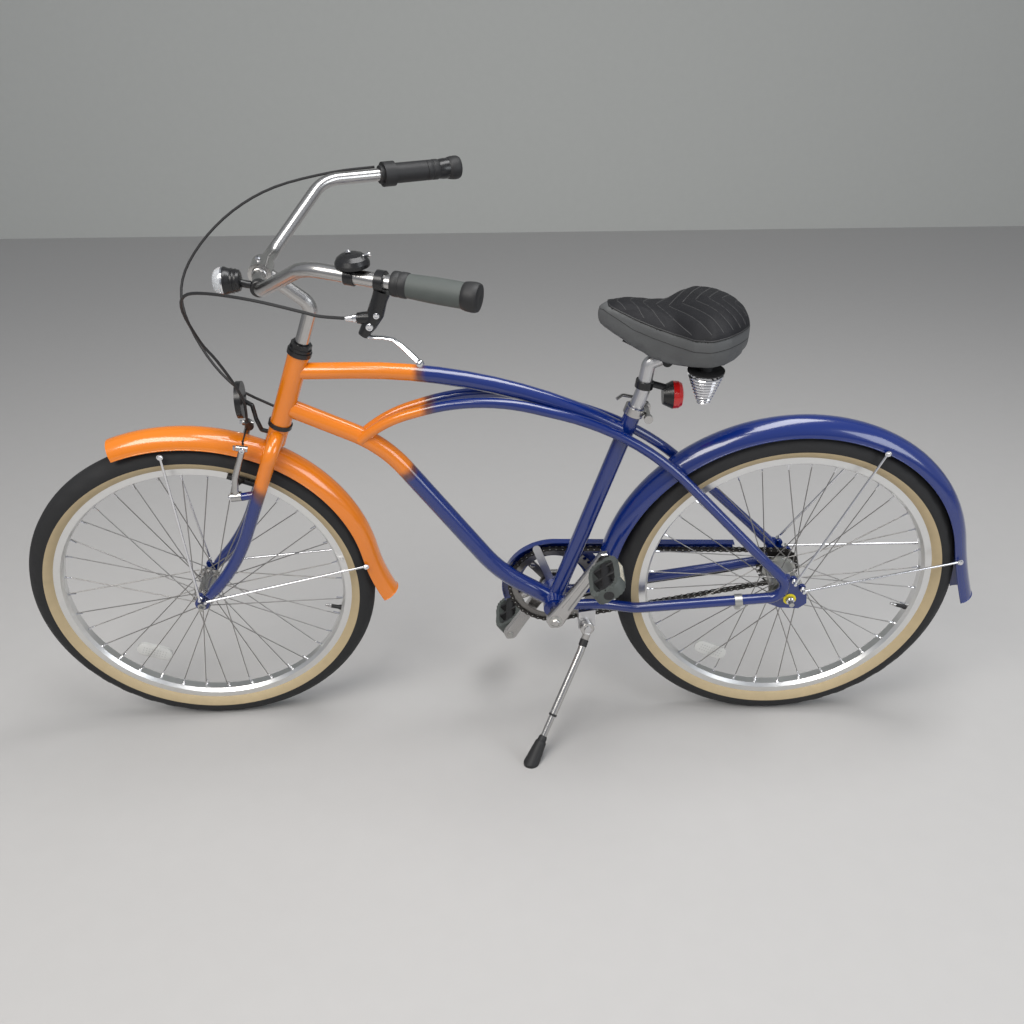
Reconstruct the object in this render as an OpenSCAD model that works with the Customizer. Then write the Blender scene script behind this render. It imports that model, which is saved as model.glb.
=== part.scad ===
// Beach cruiser bicycle, parked and leaning on its side stand, in millimetres.
// Every piece is drawn upright, with the rear axle above x 0 and y 0 and the tyres on z 0.
// X points forward and Y to the bicycle's left. The whole is then leaned over to rest on the stand.

/* [Stance] */
// Lean of the whole bicycle to its left, onto the stand, in degrees
lean = 8; // [4:0.5:14]
// Turn of the steering to the left as parked, in degrees
steer_turn = 5; // [0:1:20]

/* [Wheels] */
// Distance from axle to axle along the ground
wheel_base = 1138.5; // [1080:0.5:1200]
// Outer radius of the tyres
tyre_radius = 331; // [325:0.5:345]
// Width of the tyres
tyre_width = 52; // [44:1:60]
// Thickness of the tyre's wall
tyre_wall = 4; // [2:0.5:6]
// Radius at which the tyre's bead sits on the rim
bead_radius = 279.5; // [275:0.5:282]
// Width of the rim over its walls
rim_width = 30; // [26:0.5:36]
// Depth of the rim from its edge to its inner face
rim_depth = 19; // [14:0.5:26]
// Diameter of the spokes
spoke_d = 2; // [1.8:0.1:2.6]
// Radius of the front hub's flanges
front_flange_r = 21; // [17:0.5:30]
// Distance between the front hub's flanges
front_flange_gap = 68; // [56:1:76]
// Radius of the rear hub's flanges
rear_flange_r = 33; // [27:0.5:40]
// Distance between the rear hub's flanges
rear_flange_gap = 60; // [50:1:70]
// Thickness of the hub flanges
flange_t = 3.4; // [2.4:0.2:5]
// Diameter of the front axle
front_axle_d = 9; // [8:0.5:10]
// Length of the front axle over its ends
front_axle_length = 146; // [130:1:160]
// Diameter of the rear axle
rear_axle_d = 10; // [9:0.5:12]
// Length of the rear axle over its ends
rear_axle_length = 170; // [156:1:180]

/* [Frame] */
// Angle of the head tube from vertical, in degrees
head_angle = 20.4; // [17:0.1:25]
// Length of the head tube
head_length = 140; // [120:1:160]
// Diameter of the head tube
head_d = 38; // [34:1:44]
// Diameter of the top tube
top_d = 30; // [25:1:36]
// Diameter of the down tube
down_d = 34; // [28:1:40]
// Diameter of the seat tube
seat_tube_d = 31; // [28:0.5:35]
// Diameter of the bottom bracket shell
shell_d = 44; // [38:1:52]
// Width of the bottom bracket shell
shell_width = 70; // [66:1:76]
// Diameter of the twin side rails, which run on as the seat stays
rail_d = 19; // [16:0.5:24]
// Diameter of the chain stays
chain_stay_d = 21; // [17:0.5:25]
// Gap between the rear dropouts
rear_gap = 120; // [116:1:130]
// Thickness of the rear dropouts
dropout_t = 5; // [4:0.5:8]
// Bore of the head tube and steerer room
head_bore = 32; // [28:0.5:36]

/* [Fork and steering] */
// Distance between the centres of the fork legs at the crown
leg_span = 96; // [88:1:110]
// Diameter of the fork legs at the top
leg_d = 27; // [22:0.5:32]
// Diameter of the fork legs at the tip
leg_tip_d = 18; // [14:0.5:22]
// Gap between the front dropouts
front_gap = 100; // [96:1:110]
// Diameter of the steerer tube
steerer_d = 25.4; // [22:0.2:28.6]
// Diameter of the handlebar tube
bar_d = 22.2; // [21:0.1:24]
// Diameter of the handlebar at the stem
bar_centre_d = 25.4; // [24:0.2:32]
// Diameter of the grips
grip_d = 32; // [28:0.5:38]
// Length of the left grip
grip_length = 128; // [90:1:150]
// Diameter of the stem's post
quill_d = 22.2; // [20:0.2:26]
// Length of the twist shifter
shifter_length = 62; // [40:1:80]
// Turn of the shifter's housing about the bar, in degrees
shifter_turn = 200; // [0:5:355]
// How much shorter the right grip end is than the left one
bar_trim = 4; // [0:1:10]

/* [Saddle] */
// Diameter of the seat post
post_d = 25.4; // [22:0.2:28]
// Scale of the saddle's width
saddle_spread = 1; // [0.85:0.01:1.15]
// Wire diameter of the saddle springs
spring_wire = 5; // [3:0.5:7]

/* [Drive] */
// Crank arm length, centre to centre
crank_length = 170; // [150:1:180]
// Angle of the left crank arm above forward, in degrees
crank_angle = 121.7; // [110:0.1:135]
// Number of chainring teeth
ring_teeth = 44; // [36:1:48]
// Number of rear sprocket teeth
sprocket_teeth = 19; // [16:1:22]
// Distance of the chain from the bicycle's middle
chain_line = 45; // [42:0.5:50]
// Width of the pedal platforms along the axle
pedal_width = 97; // [80:1:110]
// Length of the pedal platforms
pedal_length = 64; // [55:1:90]
// Thickness of the pedal platforms
pedal_t = 25; // [18:1:32]
// Outer radius of the chain guard around the chainring
guard_radius = 105; // [100:1:115]
// Depth of the guard's rolled lip
guard_lip = 13; // [8:1:16]

/* [Side stand] */
// Diameter of the stand's upper leg tube
stand_d = 17; // [14:0.5:22]
// Diameter of the stand's foot
stand_foot_d = 30; // [24:1:40]

/* [Fenders] */
// Width of the fenders over their edges
fender_width = 60; // [58:1:72]
// Thickness of the fender sheet
fender_t = 1.5; // [1:0.1:2.5]
// Diameter of the fender stay rods
stay_d = 5; // [4:0.5:7]

/* [Fits] */
// Clearance around pins in their bores
pin_fit = 0.3; // [0.1:0.05:0.6]
// Gap between seated faces
seat_fit = 0.3; // [0.1:0.05:0.5]

/* [Hidden] */
axle_z = tyre_radius;
head_foot = [943.6, 0, 693.8];
crank_centre = [450, 0, 290];
seat_top = [308.8, 0, 714.9];
// Where the rear axle's ground point goes, so that the parked bounding box is centred over the origin
park_shift = [-544.54, -129.18, 0.26];
// Tiny nose-down turn that sets the turned front tyre on the ground too, in degrees
nose_down = 0.033;
section_r = tyre_width / 2;
ring_r = tyre_radius - section_r;
rim_in = bead_radius + 6.5 - rim_depth;
pitch = 12.7;
chainring_r = pitch / 2 / sin(180 / ring_teeth);
sprocket_r = pitch / 2 / sin(180 / sprocket_teeth);
// Eyes at the rear dropouts for the fender stays, as x and z
fender_eyes = [[-2, 376], [-21, 357]];
// Rear fender crown, as angle above forward and distance from the rear axle
rear_crown = [[12, tyre_radius + 38], [120, tyre_radius + 30], [164, tyre_radius + 23], [185, tyre_radius + 50]];
rear_start = 103;
// Front fender crown, as angle above forward and distance from the front axle
front_crown = [[71, tyre_radius + 31], [118, tyre_radius + 30], [168, tyre_radius + 21], [184, tyre_radius + 45]];
front_start = 161;
// Left half of the handlebar, unturned, as corner points
bar_path = [[936.7, 0, 978], [936.7, 32, 978], [929.7, 81.6, 974.3], [841.1, 209.3, 1058.2],
  [597.6, 310.6, 1043.3]];
bar_bends = [0, 60, 45, 70, 0];
// Saddle outline, as x, half width, seam height, bottom height and crown height
saddle_table = [[124, 24, 872, 848, 884], [132, 50, 876, 842, 899], [148, 80, 881, 838, 909],
  [172, 108, 883, 836, 913], [202, 120, 880, 834, 914], [232, 108, 876, 832, 908], [262, 82, 876, 829, 900],
  [292, 63, 881, 832, 905], [322, 47, 889, 845, 911], [352, 33, 900, 861, 915], [374, 19, 906, 873, 913],
  [386, 7, 900, 881, 904]];
// Side stand, as the top of the leg, a bend and the centre of the foot's sole
stand_pivot = [386.7, 45, 249.6];
stand_axis = unit([-0.213, 0.968, 0.13]);
stand_pin_r = 5;
stand_bend = [400, 68, 205];
stand_x = 500;
stand_y = 195.6;
stand_sole = [stand_x, stand_y, (stand_y * sin(lean) - park_shift[2] + stand_x * sin(nose_down)) / cos(lean)];

function unit(v) = v / norm(v);
// Matrix whose columns are three axes and an origin
function placed(x, y, z, o) = [[x[0], y[0], z[0], o[0]], [x[1], y[1], z[1], o[1]], [x[2], y[2], z[2], o[2]],
  [0, 0, 0, 1]];
function any_normal(z) = unit(abs(z[2]) < 0.9 ? cross([0, 0, 1], z) : cross([1, 0, 0], z));
function polar_point(a, r) = [r * cos(a), r * sin(a)];
// Position in the steering frame, whose z runs up the steering axis and x forward of it
steer_up = [-sin(head_angle), 0, cos(head_angle)];
steer_out = [cos(head_angle), 0, sin(head_angle)];
function turned(p) = [(p - head_foot) * steer_out, p[1], (p - head_foot) * steer_up];
function mirrored(p) = [p[0], -p[1], p[2]];
front_hub_at = turned([wheel_base, 0, axle_z]);

module leaned() {
  translate(park_shift) rotate([0, nose_down, 0]) rotate([-lean, 0, 0]) children();
}

module steered() {
  leaned() translate(head_foot) rotate([0, -head_angle, 0]) rotate([0, 0, steer_turn]) children();
}

// Upright child at a place of the steered parts
module upright(p) {
  translate(turned(p)) rotate([0, head_angle, 0]) children();
}

module both() {
  children();
  mirror([0, 1, 0]) children();
}

module rod(a, b, r, fn = 40) {
  z = unit(b - a);
  x = any_normal(z);
  multmatrix(placed(x, cross(z, x), z, a)) cylinder(r = r, h = norm(b - a), $fn = fn);
}

module cone(a, b, r1, r2, fn = 40) {
  z = unit(b - a);
  x = any_normal(z);
  multmatrix(placed(x, cross(z, x), z, a)) cylinder(r1 = r1, r2 = r2, h = norm(b - a), $fn = fn);
}

// Centre line of a tube through corner points, each inner corner rounded with its own bend radius:
// a list of [place, heading, radius], with a ring every few degrees of bend
function tube_line(p, bends, r) = let (last = len(p) - 1,
  turns = [for (i = [0:last]) i == 0 || i == last ? 0 :
    acos(max(-1, min(1, unit(p[i] - p[i - 1]) * unit(p[i + 1] - p[i]))))],
  radius = [for (i = [0:last]) is_list(r) ? r[i] : r])
  [for (i = [0:last]) let (d_in = i == 0 ? unit(p[1] - p[0]) : unit(p[i] - p[i - 1]),
    d_out = i == last ? d_in : unit(p[i + 1] - p[i]))
    if (turns[i] < 0.01) each [[p[i], d_in, radius[i]]]
    else each let (axis = unit(cross(d_in, d_out)), out = cross(d_in, axis), trim = bends[i] * tan(turns[i] / 2),
      centre = p[i] - trim * d_in - bends[i] * out, n = max(2, ceil(turns[i] / 9)))
      [for (k = [0:n]) let (a = turns[i] * k / n)
        [centre + bends[i] * (cos(a) * out + sin(a) * d_in), cos(a) * d_in - sin(a) * out, radius[i]]]];
function carried_side(q, i) = i == 0 ? any_normal(q[0][1]) :
  let (h = q[i][1], v = carried_side(q, i - 1)) unit(v - (v * h) * h);
// Round tube through corner points as one closed skin; r is one radius or one for each corner
module bent_tube(points, bends, r, sides = 20) {
  q = tube_line(points, bends, r);
  loft([for (i = [0:len(q) - 1]) let (h = q[i][1], u = carried_side(q, i), v = cross(h, u))
    [for (j = [0:sides - 1]) q[i][0] + q[i][2] * (cos(-360 * j / sides) * u + sin(-360 * j / sides) * v)]]);
}

// Arc in a plane from p with heading h to q: the signed radius, positive when it turns left
function arc_r(p, h, q) = (q - p) * (q - p) / (2 * ((q - p) * [-h[1], h[0]]));
function arc_sweep(p, h, q) = 2 * atan2((q - p) * [-h[1], h[0]], (q - p) * h);
function turn2(h, a) = [h[0] * cos(a) - h[1] * sin(a), h[0] * sin(a) + h[1] * cos(a)];

// Places and outward headings along a chain of tangent arcs through points in the xz plane
function arc_line(points, h, i = 0) = let (p = points[i], q = points[i + 1], r = arc_r(p, h, q),
  a = arc_sweep(p, h, q), c = p + r * [-h[1], h[0]], n = max(2, ceil(abs(a) / 8)),
  end = i == len(points) - 2,
  run = [for (k = [0:n - (end ? 0 : 1)]) let (g = turn2(h, a * k / n)) [c + r * [g[1], -g[0]], [g[1], -g[0]]]])
  end ? run : concat(run, arc_line(points, turn2(h, a), i + 1));

// Closed skin over a list of rings with equal numbers of points
module loft(rings, shell = false) {
  n = len(rings[0]);
  m = len(rings);
  points = [for (ring = rings) for (p = ring) p];
  sides = [for (i = [0:m - 2]) for (j = [0:n - 1])
    [i * n + j, i * n + (j + 1) % n, (i + 1) * n + (j + 1) % n, (i + 1) * n + j]];
  k = (m - 1) * n;
  first = shell ? [for (j = [0:n / 2 - 2]) [j + 1, j, n - 1 - j, n - 2 - j]] : [[for (j = [n - 1:-1:0]) j]];
  end = shell ? [for (j = [0:n / 2 - 2]) [k + j, k + j + 1, k + n - 2 - j, k + n - 1 - j]] :
    [[for (j = [0:n - 1]) k + j]];
  polyhedron(points = points, faces = concat(first, sides, end), convexity = 6);
}

// Cord through hand-chosen points: smoothed between them and swept with a round section
function spline(p, i, t) = let (a = p[max(0, i - 1)], b = p[i], c = p[i + 1], d = p[min(len(p) - 1, i + 2)])
  b + (c - a) * t / 2 + (2 * a - 5 * b + 4 * c - d) * t * t / 2 + (3 * b - a - 3 * c + d) * t * t * t / 2;
function cord_line(p, steps) = concat([for (i = [0:len(p) - 2]) for (k = [0:steps - 1]) spline(p, i, k / steps)],
  [p[len(p) - 1]]);
function cord_heading(q, i) = unit(q[min(len(q) - 1, i + 1)] - q[max(0, i - 1)]);
function carried(q, i) = i == 0 ? any_normal(cord_heading(q, 0)) :
  let (h = cord_heading(q, i), v = carried(q, i - 1)) unit(v - (v * h) * h);
module cord(p, r, steps = 5, sides = 8) {
  q = cord_line(p, steps);
  loft([for (i = [0:len(q) - 1]) let (h = cord_heading(q, i), u = carried(q, i), v = cross(h, u))
    [for (j = [0:sides - 1]) q[i] + r * (cos(-360 * j / sides) * u + sin(-360 * j / sides) * v)]]);
}

// Frame

module head_tube() color("#d8431c") leaned() translate(head_foot) rotate([0, -head_angle, 0])
  difference() {
    cylinder(d = head_d, h = head_length, $fn = 72);
    translate([0, 0, -1]) cylinder(d = head_bore, h = head_length + 2, $fn = 64);
  }

module headset() color("#1c1c1e") leaned() translate(head_foot) rotate([0, -head_angle, 0]) {
  for (z = [-8, head_length]) translate([0, 0, z]) difference() {
    cylinder(d = head_d + 5, h = 8, $fn = 72);
    translate([0, 0, -1]) cylinder(d = steerer_d + 2 * pin_fit, h = 10, $fn = 64);
  }
}

module head_room() {
  translate(head_foot) rotate([0, -head_angle, 0]) translate([0, 0, -20]) cylinder(d = head_d, h = 200, $fn = 72);
}

module shell_room() {
  translate(crank_centre) rotate([90, 0, 0]) cylinder(d = shell_d, h = 120, center = true, $fn = 72);
}

module seat_tube_room() {
  rod(crank_centre, seat_top + 0.3 * (seat_top - crank_centre), seat_tube_d / 2, 64);
}

module top_tube() color("#26327c") leaned() difference() {
  bent_tube([[890, 0, 792.5], [553, 0, 792.5], [325, 0, 665]], [0, 960, 0], top_d / 2);
  head_room();
  seat_tube_room();
}

down_path = [[925, 0, 722], [763.4, 0, 645.1], [558.4, 0, 357.8], [450, 0, 287.4]];
module down_tube() color("#26327c") leaned() difference() {
  bent_tube(down_path, [0, 233, 263, 0], down_d / 2);
  head_room();
  shell_room();
  seat_tube_room();
}

module seat_tube() color("#26327c") leaned() difference() {
  rod(crank_centre, seat_top, seat_tube_d / 2, 64);
  shell_room();
  rod(crank_centre + 0.5 * (seat_top - crank_centre), seat_top + 0.1 * (seat_top - crank_centre),
    post_d / 2 + 0.05, 64);
}

module bottom_bracket() color("#26327c") leaned() translate(crank_centre) rotate([90, 0, 0]) difference() {
  union() {
    cylinder(d = shell_d, h = shell_width, center = true, $fn = 72);
    cylinder(d = shell_d - 6, h = shell_width + 8, center = true, $fn = 72);
  }
  cylinder(d = 18 + 2 * pin_fit, h = 100, center = true, $fn = 48);
}

rail_path = [[810, 9.8, 653.6], [759.7, 13, 698.6], [587, 21, 751.2], [305, 28, 676.3], [60.4, 60.6, 421.8]];
rail_bends = [0, 240, 356, 504, 0];
module side_rails() color("#26327c") leaned() difference() {
  both() {
    bent_tube(rail_path, rail_bends, rail_d / 2);
  }
  bent_tube([down_path[0], down_path[1], down_path[2]], [0, 233, 0], down_d / 2);
  seat_tube_room();
}

// Each stay starts where the rail ends, turns tightly round behind the axle and runs forward to the shell
stay_path = [[60, 60.7, 421.4], [-20, 64.5, 338.5], [292, 46, 298.5], [352, 27, 294.5], [446, 24, 291]];
stay_bends = [0, 30, 80, 80, 0];
function stay_at(x) = let (a = stay_path[2], b = stay_path[1]) b + (a - b) * (x - b[0]) / (a[0] - b[0]);
module dropout() {
  translate([0, rear_gap / 2, 0]) rotate([90, 0, 0]) translate([0, 0, -dropout_t]) linear_extrude(dropout_t)
    difference() {
      union() {
        polygon([[-27, 350], [-6, 371], [6, 386], [30, 392], [24, 372], [18, 356], [24, 342], [44, 331],
          [44, 322], [16, 310], [-20, 308], [-34, 320], [-32, 340]]);
        for (q = fender_eyes) translate([q[0], q[1]]) circle(r = 7, $fn = 24);
      }
      translate([-40, axle_z - rear_axle_d / 2 - 0.25]) square([40, rear_axle_d + 0.5]);
      translate([0, axle_z]) circle(d = rear_axle_d + 0.5, $fn = 32);
    }
}
module chain_stays() color("#26327c") leaned() difference() {
  both() {
    bent_tube(stay_path, stay_bends, [rail_d / 2, chain_stay_d / 2, chain_stay_d / 2, chain_stay_d / 2, chain_stay_d / 2]);
    dropout();
  }
  shell_room();
}

module seat_post() color("#b9bcc2") leaned()
  bent_tube([crank_centre + 0.6 * (seat_top - crank_centre), [298, 0, 747], [290, 0, 800], [270.5, 0, 808.3]],
    [0, 60, 12, 0], post_d / 2);

module seat_clamp() color("#b9bcc2") leaned() {
  translate(seat_top) rotate([0, -18.4, 0]) {
    translate([0, 0, -14]) difference() {
      cylinder(d = seat_tube_d + 7, h = 15, $fn = 72);
      translate([0, 0, -1]) cylinder(d = seat_tube_d + 0.1, h = 20, $fn = 72);
    }
    translate([-seat_tube_d / 2 - 9, 0, -7]) rotate([90, 0, 0]) {
      cylinder(r = 5.5, h = 48, center = true, $fn = 32);
      translate([0, 0, -24]) cylinder(r = 8, h = 8, $fn = 32);
      translate([0, 0, 26]) cylinder(r = 9, h = 9, center = true, $fn = 32);
    }
  }
  bent_tube([[284, -27, 708], [300, -32, 716], [330, -30, 724], [341, -22, 720]], [0, 10, 8, 0], 3.2, 10);
}

function saddle_ring(s) = let (w = saddle_spread * s[1]) concat(
  [[s[0], w - 1, (s[2] + s[3]) / 2], [s[0], 0.93 * w, s[3]], [s[0], -0.93 * w, s[3]],
    [s[0], -w + 1, (s[2] + s[3]) / 2]],
  [for (a = [180:-15:0]) [s[0], w * sign(cos(a)) * pow(abs(cos(a)), 0.85), s[2] + (s[4] - s[2]) * sin(a)]]);
module saddle() color("#202024") leaned() loft([for (s = saddle_table) saddle_ring(s)]);

module saddle_frame() color("#3a3d42") leaned() {
  both() {
    bent_tube([[338, 8, 847.4], [305, 14, 832], [262, 22, 812], [209, 58, 824.5]], [0, 12, 14, 0], 3.5, 10);
    translate([205, 75, 818.3]) cylinder(r = 31, h = 2, $fn = 40);
    translate([205, 75, 818.3]) cylinder(r = 10, h = 14.6, $fn = 24);
  }
  rod([262, -26, 812], [262, 26, 812], 9);
}

// Tight cone of coils, narrow end down, with a thin skin behind the turns
spring_turns = 9;
module saddle_springs() color("#c7c9cc") leaned() both() translate([205, 75, 761]) rotate_extrude($fn = 36) {
  polygon([[8.4, 0], [9.6, 0], [29.6, 54], [28.4, 54]]);
  for (i = [0:spring_turns]) translate([9 + 20 * i / spring_turns, 54 * i / spring_turns])
    circle(d = spring_wire, $fn = 16);
}

lamp_at = [246, 0, 738];
module rear_lamp_body() color("#1c1c1e") leaned() {
  translate(lamp_at) rotate([0, 90, 0]) cylinder(r1 = 25, r2 = 17, h = 17, $fn = 64);
  difference() {
    union() {
      rod(lamp_at + [12, 0, 14], [290, 0, 762], 6);
      rod([297.1, 0, 753.6], [295.2, 0, 766.5], post_d / 2 + 3.5, 48);
    }
    rod([297.8, 0, 749], [294.5, 0, 771], post_d / 2 + 0.05, 48);
  }
}

module rear_lamp_lens() color("#b01818") leaned() translate(lamp_at - [0.2, 0, 0]) rotate([0, -90, 0])
  rotate_extrude($fn = 64) polygon([[0, 0], [25, 0], [24.5, 10], [21, 16], [12, 19], [0, 20]]);

// Half-round channel of the fenders over the crown points, about the Y axis
function channel_ring(c, out) = let (w = fender_width / 2, n = 12) concat(
  [for (j = [0:n]) let (a = 180 * j / n)
    [c[0] - out[0] * w * (1 - sin(a)), -w * cos(a), c[1] - out[1] * w * (1 - sin(a))]],
  [for (j = [n:-1:0]) let (a = 180 * j / n, v = w - fender_t)
    [c[0] - out[0] * (w - v * sin(a)), -v * cos(a), c[1] - out[1] * (w - v * sin(a))]]);
module channel(crown, start) {
  line = arc_line([for (p = crown) polar_point(p[0], p[1])], polar_point(start, 1));
  loft([for (q = line) channel_ring(q[0], q[1])], true);
}

module rear_fender() color("#26327c") leaned() translate([0, 0, axle_z]) channel(rear_crown, rear_start);

module front_fender() color("#d8431c") steered() translate(front_hub_at) rotate([0, head_angle, 0])
  channel(front_crown, front_start);

module rear_fender_stays() color("#c7c9cc") leaned() both() {
  y = rear_gap / 2 + dropout_t + 0.2;
  for (k = [0:1]) {
    foot = [fender_eyes[k][0], y + 12.5, fender_eyes[k][1]];
    rod(foot, k == 0 ? [-144, fender_width / 2 + stay_d / 2 + 0.3, 632] : [-326, fender_width / 2 + stay_d / 2 + 0.3, 391],
      stay_d / 2, 16);
    rod([foot[0], y, foot[2]], foot + [0, 4, 0], 3, 16);
  }
}

module front_fender_stays() color("#c7c9cc") steered() both() {
  y = front_gap / 2 + dropout_t + 0.2;
  for (k = [0:1]) {
    foot = [wheel_base - (k == 0 ? 0 : 10), y + 10, axle_z + (k == 0 ? 19 : 13)];
    rod(turned(foot), turned(k == 0 ? [1159, fender_width / 2 + stay_d / 2 + 0.3, 653] :
      [819, fender_width / 2 + stay_d / 2 + 0.3, 383]), stay_d / 2, 16);
    rod(turned([foot[0], y, foot[2]]), turned(foot + [0, 4, 0]), 3, 16);
  }
}

// Drive

// Guard outline, set in by the given distance
module guard_shape(inset) {
  difference() {
    union() {
      translate([450, 290]) circle(r = guard_radius - inset, $fn = 96);
      polygon([[92 + inset, 388 - inset], [450, 395 - inset], [450, 359 + inset], [110, 361 + inset],
        [92 + inset, 366 + inset]]);
    }
    polygon([[340 + inset, 290], [450, 290], [620, 215 + inset], [620, 100], [300, 100], [300, 359 + inset],
      [340 + inset, 359 + inset]]);
  }
}
module chain_guard() color("#26327c") leaned() translate([0, -54, 0]) rotate([90, 0, 0]) {
  linear_extrude(1.5) difference() {
    guard_shape(0);
    translate([450, 290]) circle(r = 66, $fn = 96);
  }
  translate([0, 0, -guard_lip]) linear_extrude(guard_lip + 1) difference() {
    guard_shape(0);
    guard_shape(1.5);
    translate([350, 290]) square([94, 71]);
    translate([80, 340]) square([370, 32]);
    translate([80, 340]) square([20, 44]);
    polygon([[450, 296], [620, 221], [620, 100], [300, 100], [300, 296]]);
  }
}

// Strap that holds the guard: a ring behind the bearing cup, an arm and a spacer past the chain
module guard_bracket() color("#9fa5ad") leaned() translate(crank_centre) rotate([90, 0, 0]) {
  translate([0, 0, shell_width / 2 + 0.1]) linear_extrude(2) difference() {
    union() {
      circle(r = 27, $fn = 64);
      rotate(70) translate([20, -8]) square([guard_radius - 25, 16]);
      rotate(70) translate([guard_radius - 5, 0]) circle(r = 8, $fn = 32);
    }
    circle(d = shell_d - 5.8, $fn = 64);
  }
  rotate(70) translate([guard_radius - 5, 0, shell_width / 2 + 2]) cylinder(r = 3.5, h = 54 - shell_width / 2 - 2, $fn = 24);
}

// The chain's loop round both sprockets: a point and an outward side for a distance along it
chain_gap = norm([crank_centre[0], crank_centre[2] - axle_z]);
chain_slope = atan2(crank_centre[2] - axle_z, crank_centre[0]);
chain_wrap = acos((chainring_r - sprocket_r) / chain_gap);
chain_run = chain_gap * sin(chain_wrap);
ring_arc = chainring_r * (180 - chain_wrap) * PI / 90;
sprocket_arc = sprocket_r * chain_wrap * PI / 90;
chain_length = 2 * chain_run + ring_arc + sprocket_arc;
chain_links = 2 * round(chain_length / pitch / 2);
// On the ring from its lower to its upper tangent, then the upper run, the sprocket and the lower run
function chain_side(q) = q < ring_arc ? chain_slope - (180 - chain_wrap) + q / chainring_r * 180 / PI :
  q < ring_arc + chain_run ? chain_slope + 180 - chain_wrap :
  q < ring_arc + chain_run + sprocket_arc ?
    chain_slope + 180 - chain_wrap + (q - ring_arc - chain_run) / sprocket_r * 180 / PI :
  chain_slope - (180 - chain_wrap);
function chain_at(q) = let (a = chain_side(q), ring = [crank_centre[0], crank_centre[2]], gear = [0, axle_z],
  side = [cos(a), sin(a)], along = [-sin(a), cos(a)])
  q < ring_arc ? ring + chainring_r * side :
  q < ring_arc + chain_run ? ring + chainring_r * side + (q - ring_arc) * along :
  q < ring_arc + chain_run + sprocket_arc ? gear + sprocket_r * side :
  gear + sprocket_r * side + (q - ring_arc - chain_run - sprocket_arc) * along;
// Edge of the link plates, waisted between the pins
module chain_edge(out) {
  polygon([for (i = [0:2 * chain_links - 1]) let (q = i * chain_length / chain_links / 2, a = chain_side(q))
    chain_at(q) + (out * (i % 2 == 0 ? 4.3 : 3)) * [cos(a), sin(a)]]);
}
module chain() color("#2a2a2c") leaned() translate([0, -chain_line, 0]) rotate([90, 0, 0]) {
  for (s = [-1, 1]) translate([0, 0, s * 3.4]) linear_extrude(1.6, center = true) difference() {
    chain_edge(1);
    chain_edge(-1);
  }
  // Rollers join the plates on the two free runs, well clear of the teeth
  for (i = [0:chain_links - 1]) let (q = i * chain_length / chain_links, run = q < ring_arc + chain_run ?
    q - ring_arc : q - ring_arc - chain_run - sprocket_arc)
    if (run > 30 && run < chain_run - 30 && i % 2 == 0)
      translate([chain_at(q)[0], chain_at(q)[1], 0]) cylinder(d = 5.6, h = 6, center = true, $fn = 13);
}

module brake_reaction_arm() color("#8a5a44") leaned() {
  clip = stay_at(96);
  translate([0, 47, 0]) rotate([90, 0, 0]) linear_extrude(3) difference() {
    union() {
      translate([0, axle_z]) circle(r = 15, $fn = 48);
      polygon([[4, axle_z + 14], [98, clip[2] - 12], [98, clip[2] - 24], [-4, axle_z - 14]]);
      translate([96, clip[2] - 18]) circle(r = 8, $fn = 32);
    }
    translate([0, axle_z]) circle(d = rear_axle_d + 0.4, $fn = 32);
  }
  rod([96, 44, clip[2] - 18], [96, clip[1] + 3, clip[2] - 18], 3, 24);
  difference() {
    rod(stay_at(89), stay_at(103), chain_stay_d / 2 + 1.8);
    rod(stay_at(85), stay_at(107), chain_stay_d / 2 + 0.3);
  }
  translate([96, clip[1], clip[2] - 16]) cube([10, 5, 10], center = true);
}

module rear_axle() color("#9fa5ad") leaned() translate([0, 0, axle_z]) rotate([90, 0, 0]) {
  cylinder(d = rear_axle_d, h = rear_axle_length, center = true, $fn = 48);
  for (s = [-1, 1]) translate([0, 0, s * (rear_gap / 2 + dropout_t + 4.2)])
    cylinder(d = 17, h = 8, center = true, $fn = 6);
  // Spacers from the dropouts in to the brake arm and the gear side
  translate([0, 0, -rear_gap / 2 + 0.2]) cylinder(d = 18, h = rear_gap / 2 - 47.5, $fn = 48);
  translate([0, 0, 49.5]) cylinder(d = 18, h = rear_gap / 2 - 49.7, $fn = 48);
}

module stand_mount() color("#9fa5ad") leaned() {
  difference() {
    translate([386, 27.5, 263.4]) cube([34, 45, 36.8], center = true);
    rod(stand_pivot - 6.2 * stand_axis, stand_pivot + 40 * stand_axis, 60, 96);
  }
  rod(stand_pivot - 15 * stand_axis, stand_pivot + 9 * stand_axis, stand_pin_r, 32);
  rod(stand_pivot + 7.9 * stand_axis, stand_pivot + 10.5 * stand_axis, stand_pin_r + 1.5, 32);
}

// Steered parts

leg_path = [[0, 9, -24], [4, leg_span / 2, -33], [10, leg_span / 2 + 1, -297],
  [front_hub_at[0] - 10, front_gap / 2 + 2.5, front_hub_at[2] + 22]];
leg_radii = [leg_d / 2, leg_d / 2, leg_d / 2 - 2, leg_tip_d / 2];
boss_at = [1038, 48, 570];
module steerer() color("#b9bcc2") steered() {
  translate([0, 0, -36]) cylinder(d = steerer_d, h = head_length + 36 + 24, $fn = 64);
  translate([0, 0, head_length + 8.2]) cylinder(d = head_d + 1, h = 5, $fn = 64);
  translate([0, 0, head_length + 13]) cylinder(d = head_d - 1, h = 9, $fn = 8);
}

// Sleeve that the two legs are welded to, right under the headset
module fork_crown() color("#d8431c") steered() difference() {
  translate([0, 0, -43]) cylinder(d = head_d - 2, h = 34.7, $fn = 64);
  translate([0, 0, -50]) cylinder(d = steerer_d + 0.1, h = 60, $fn = 64);
}

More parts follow.
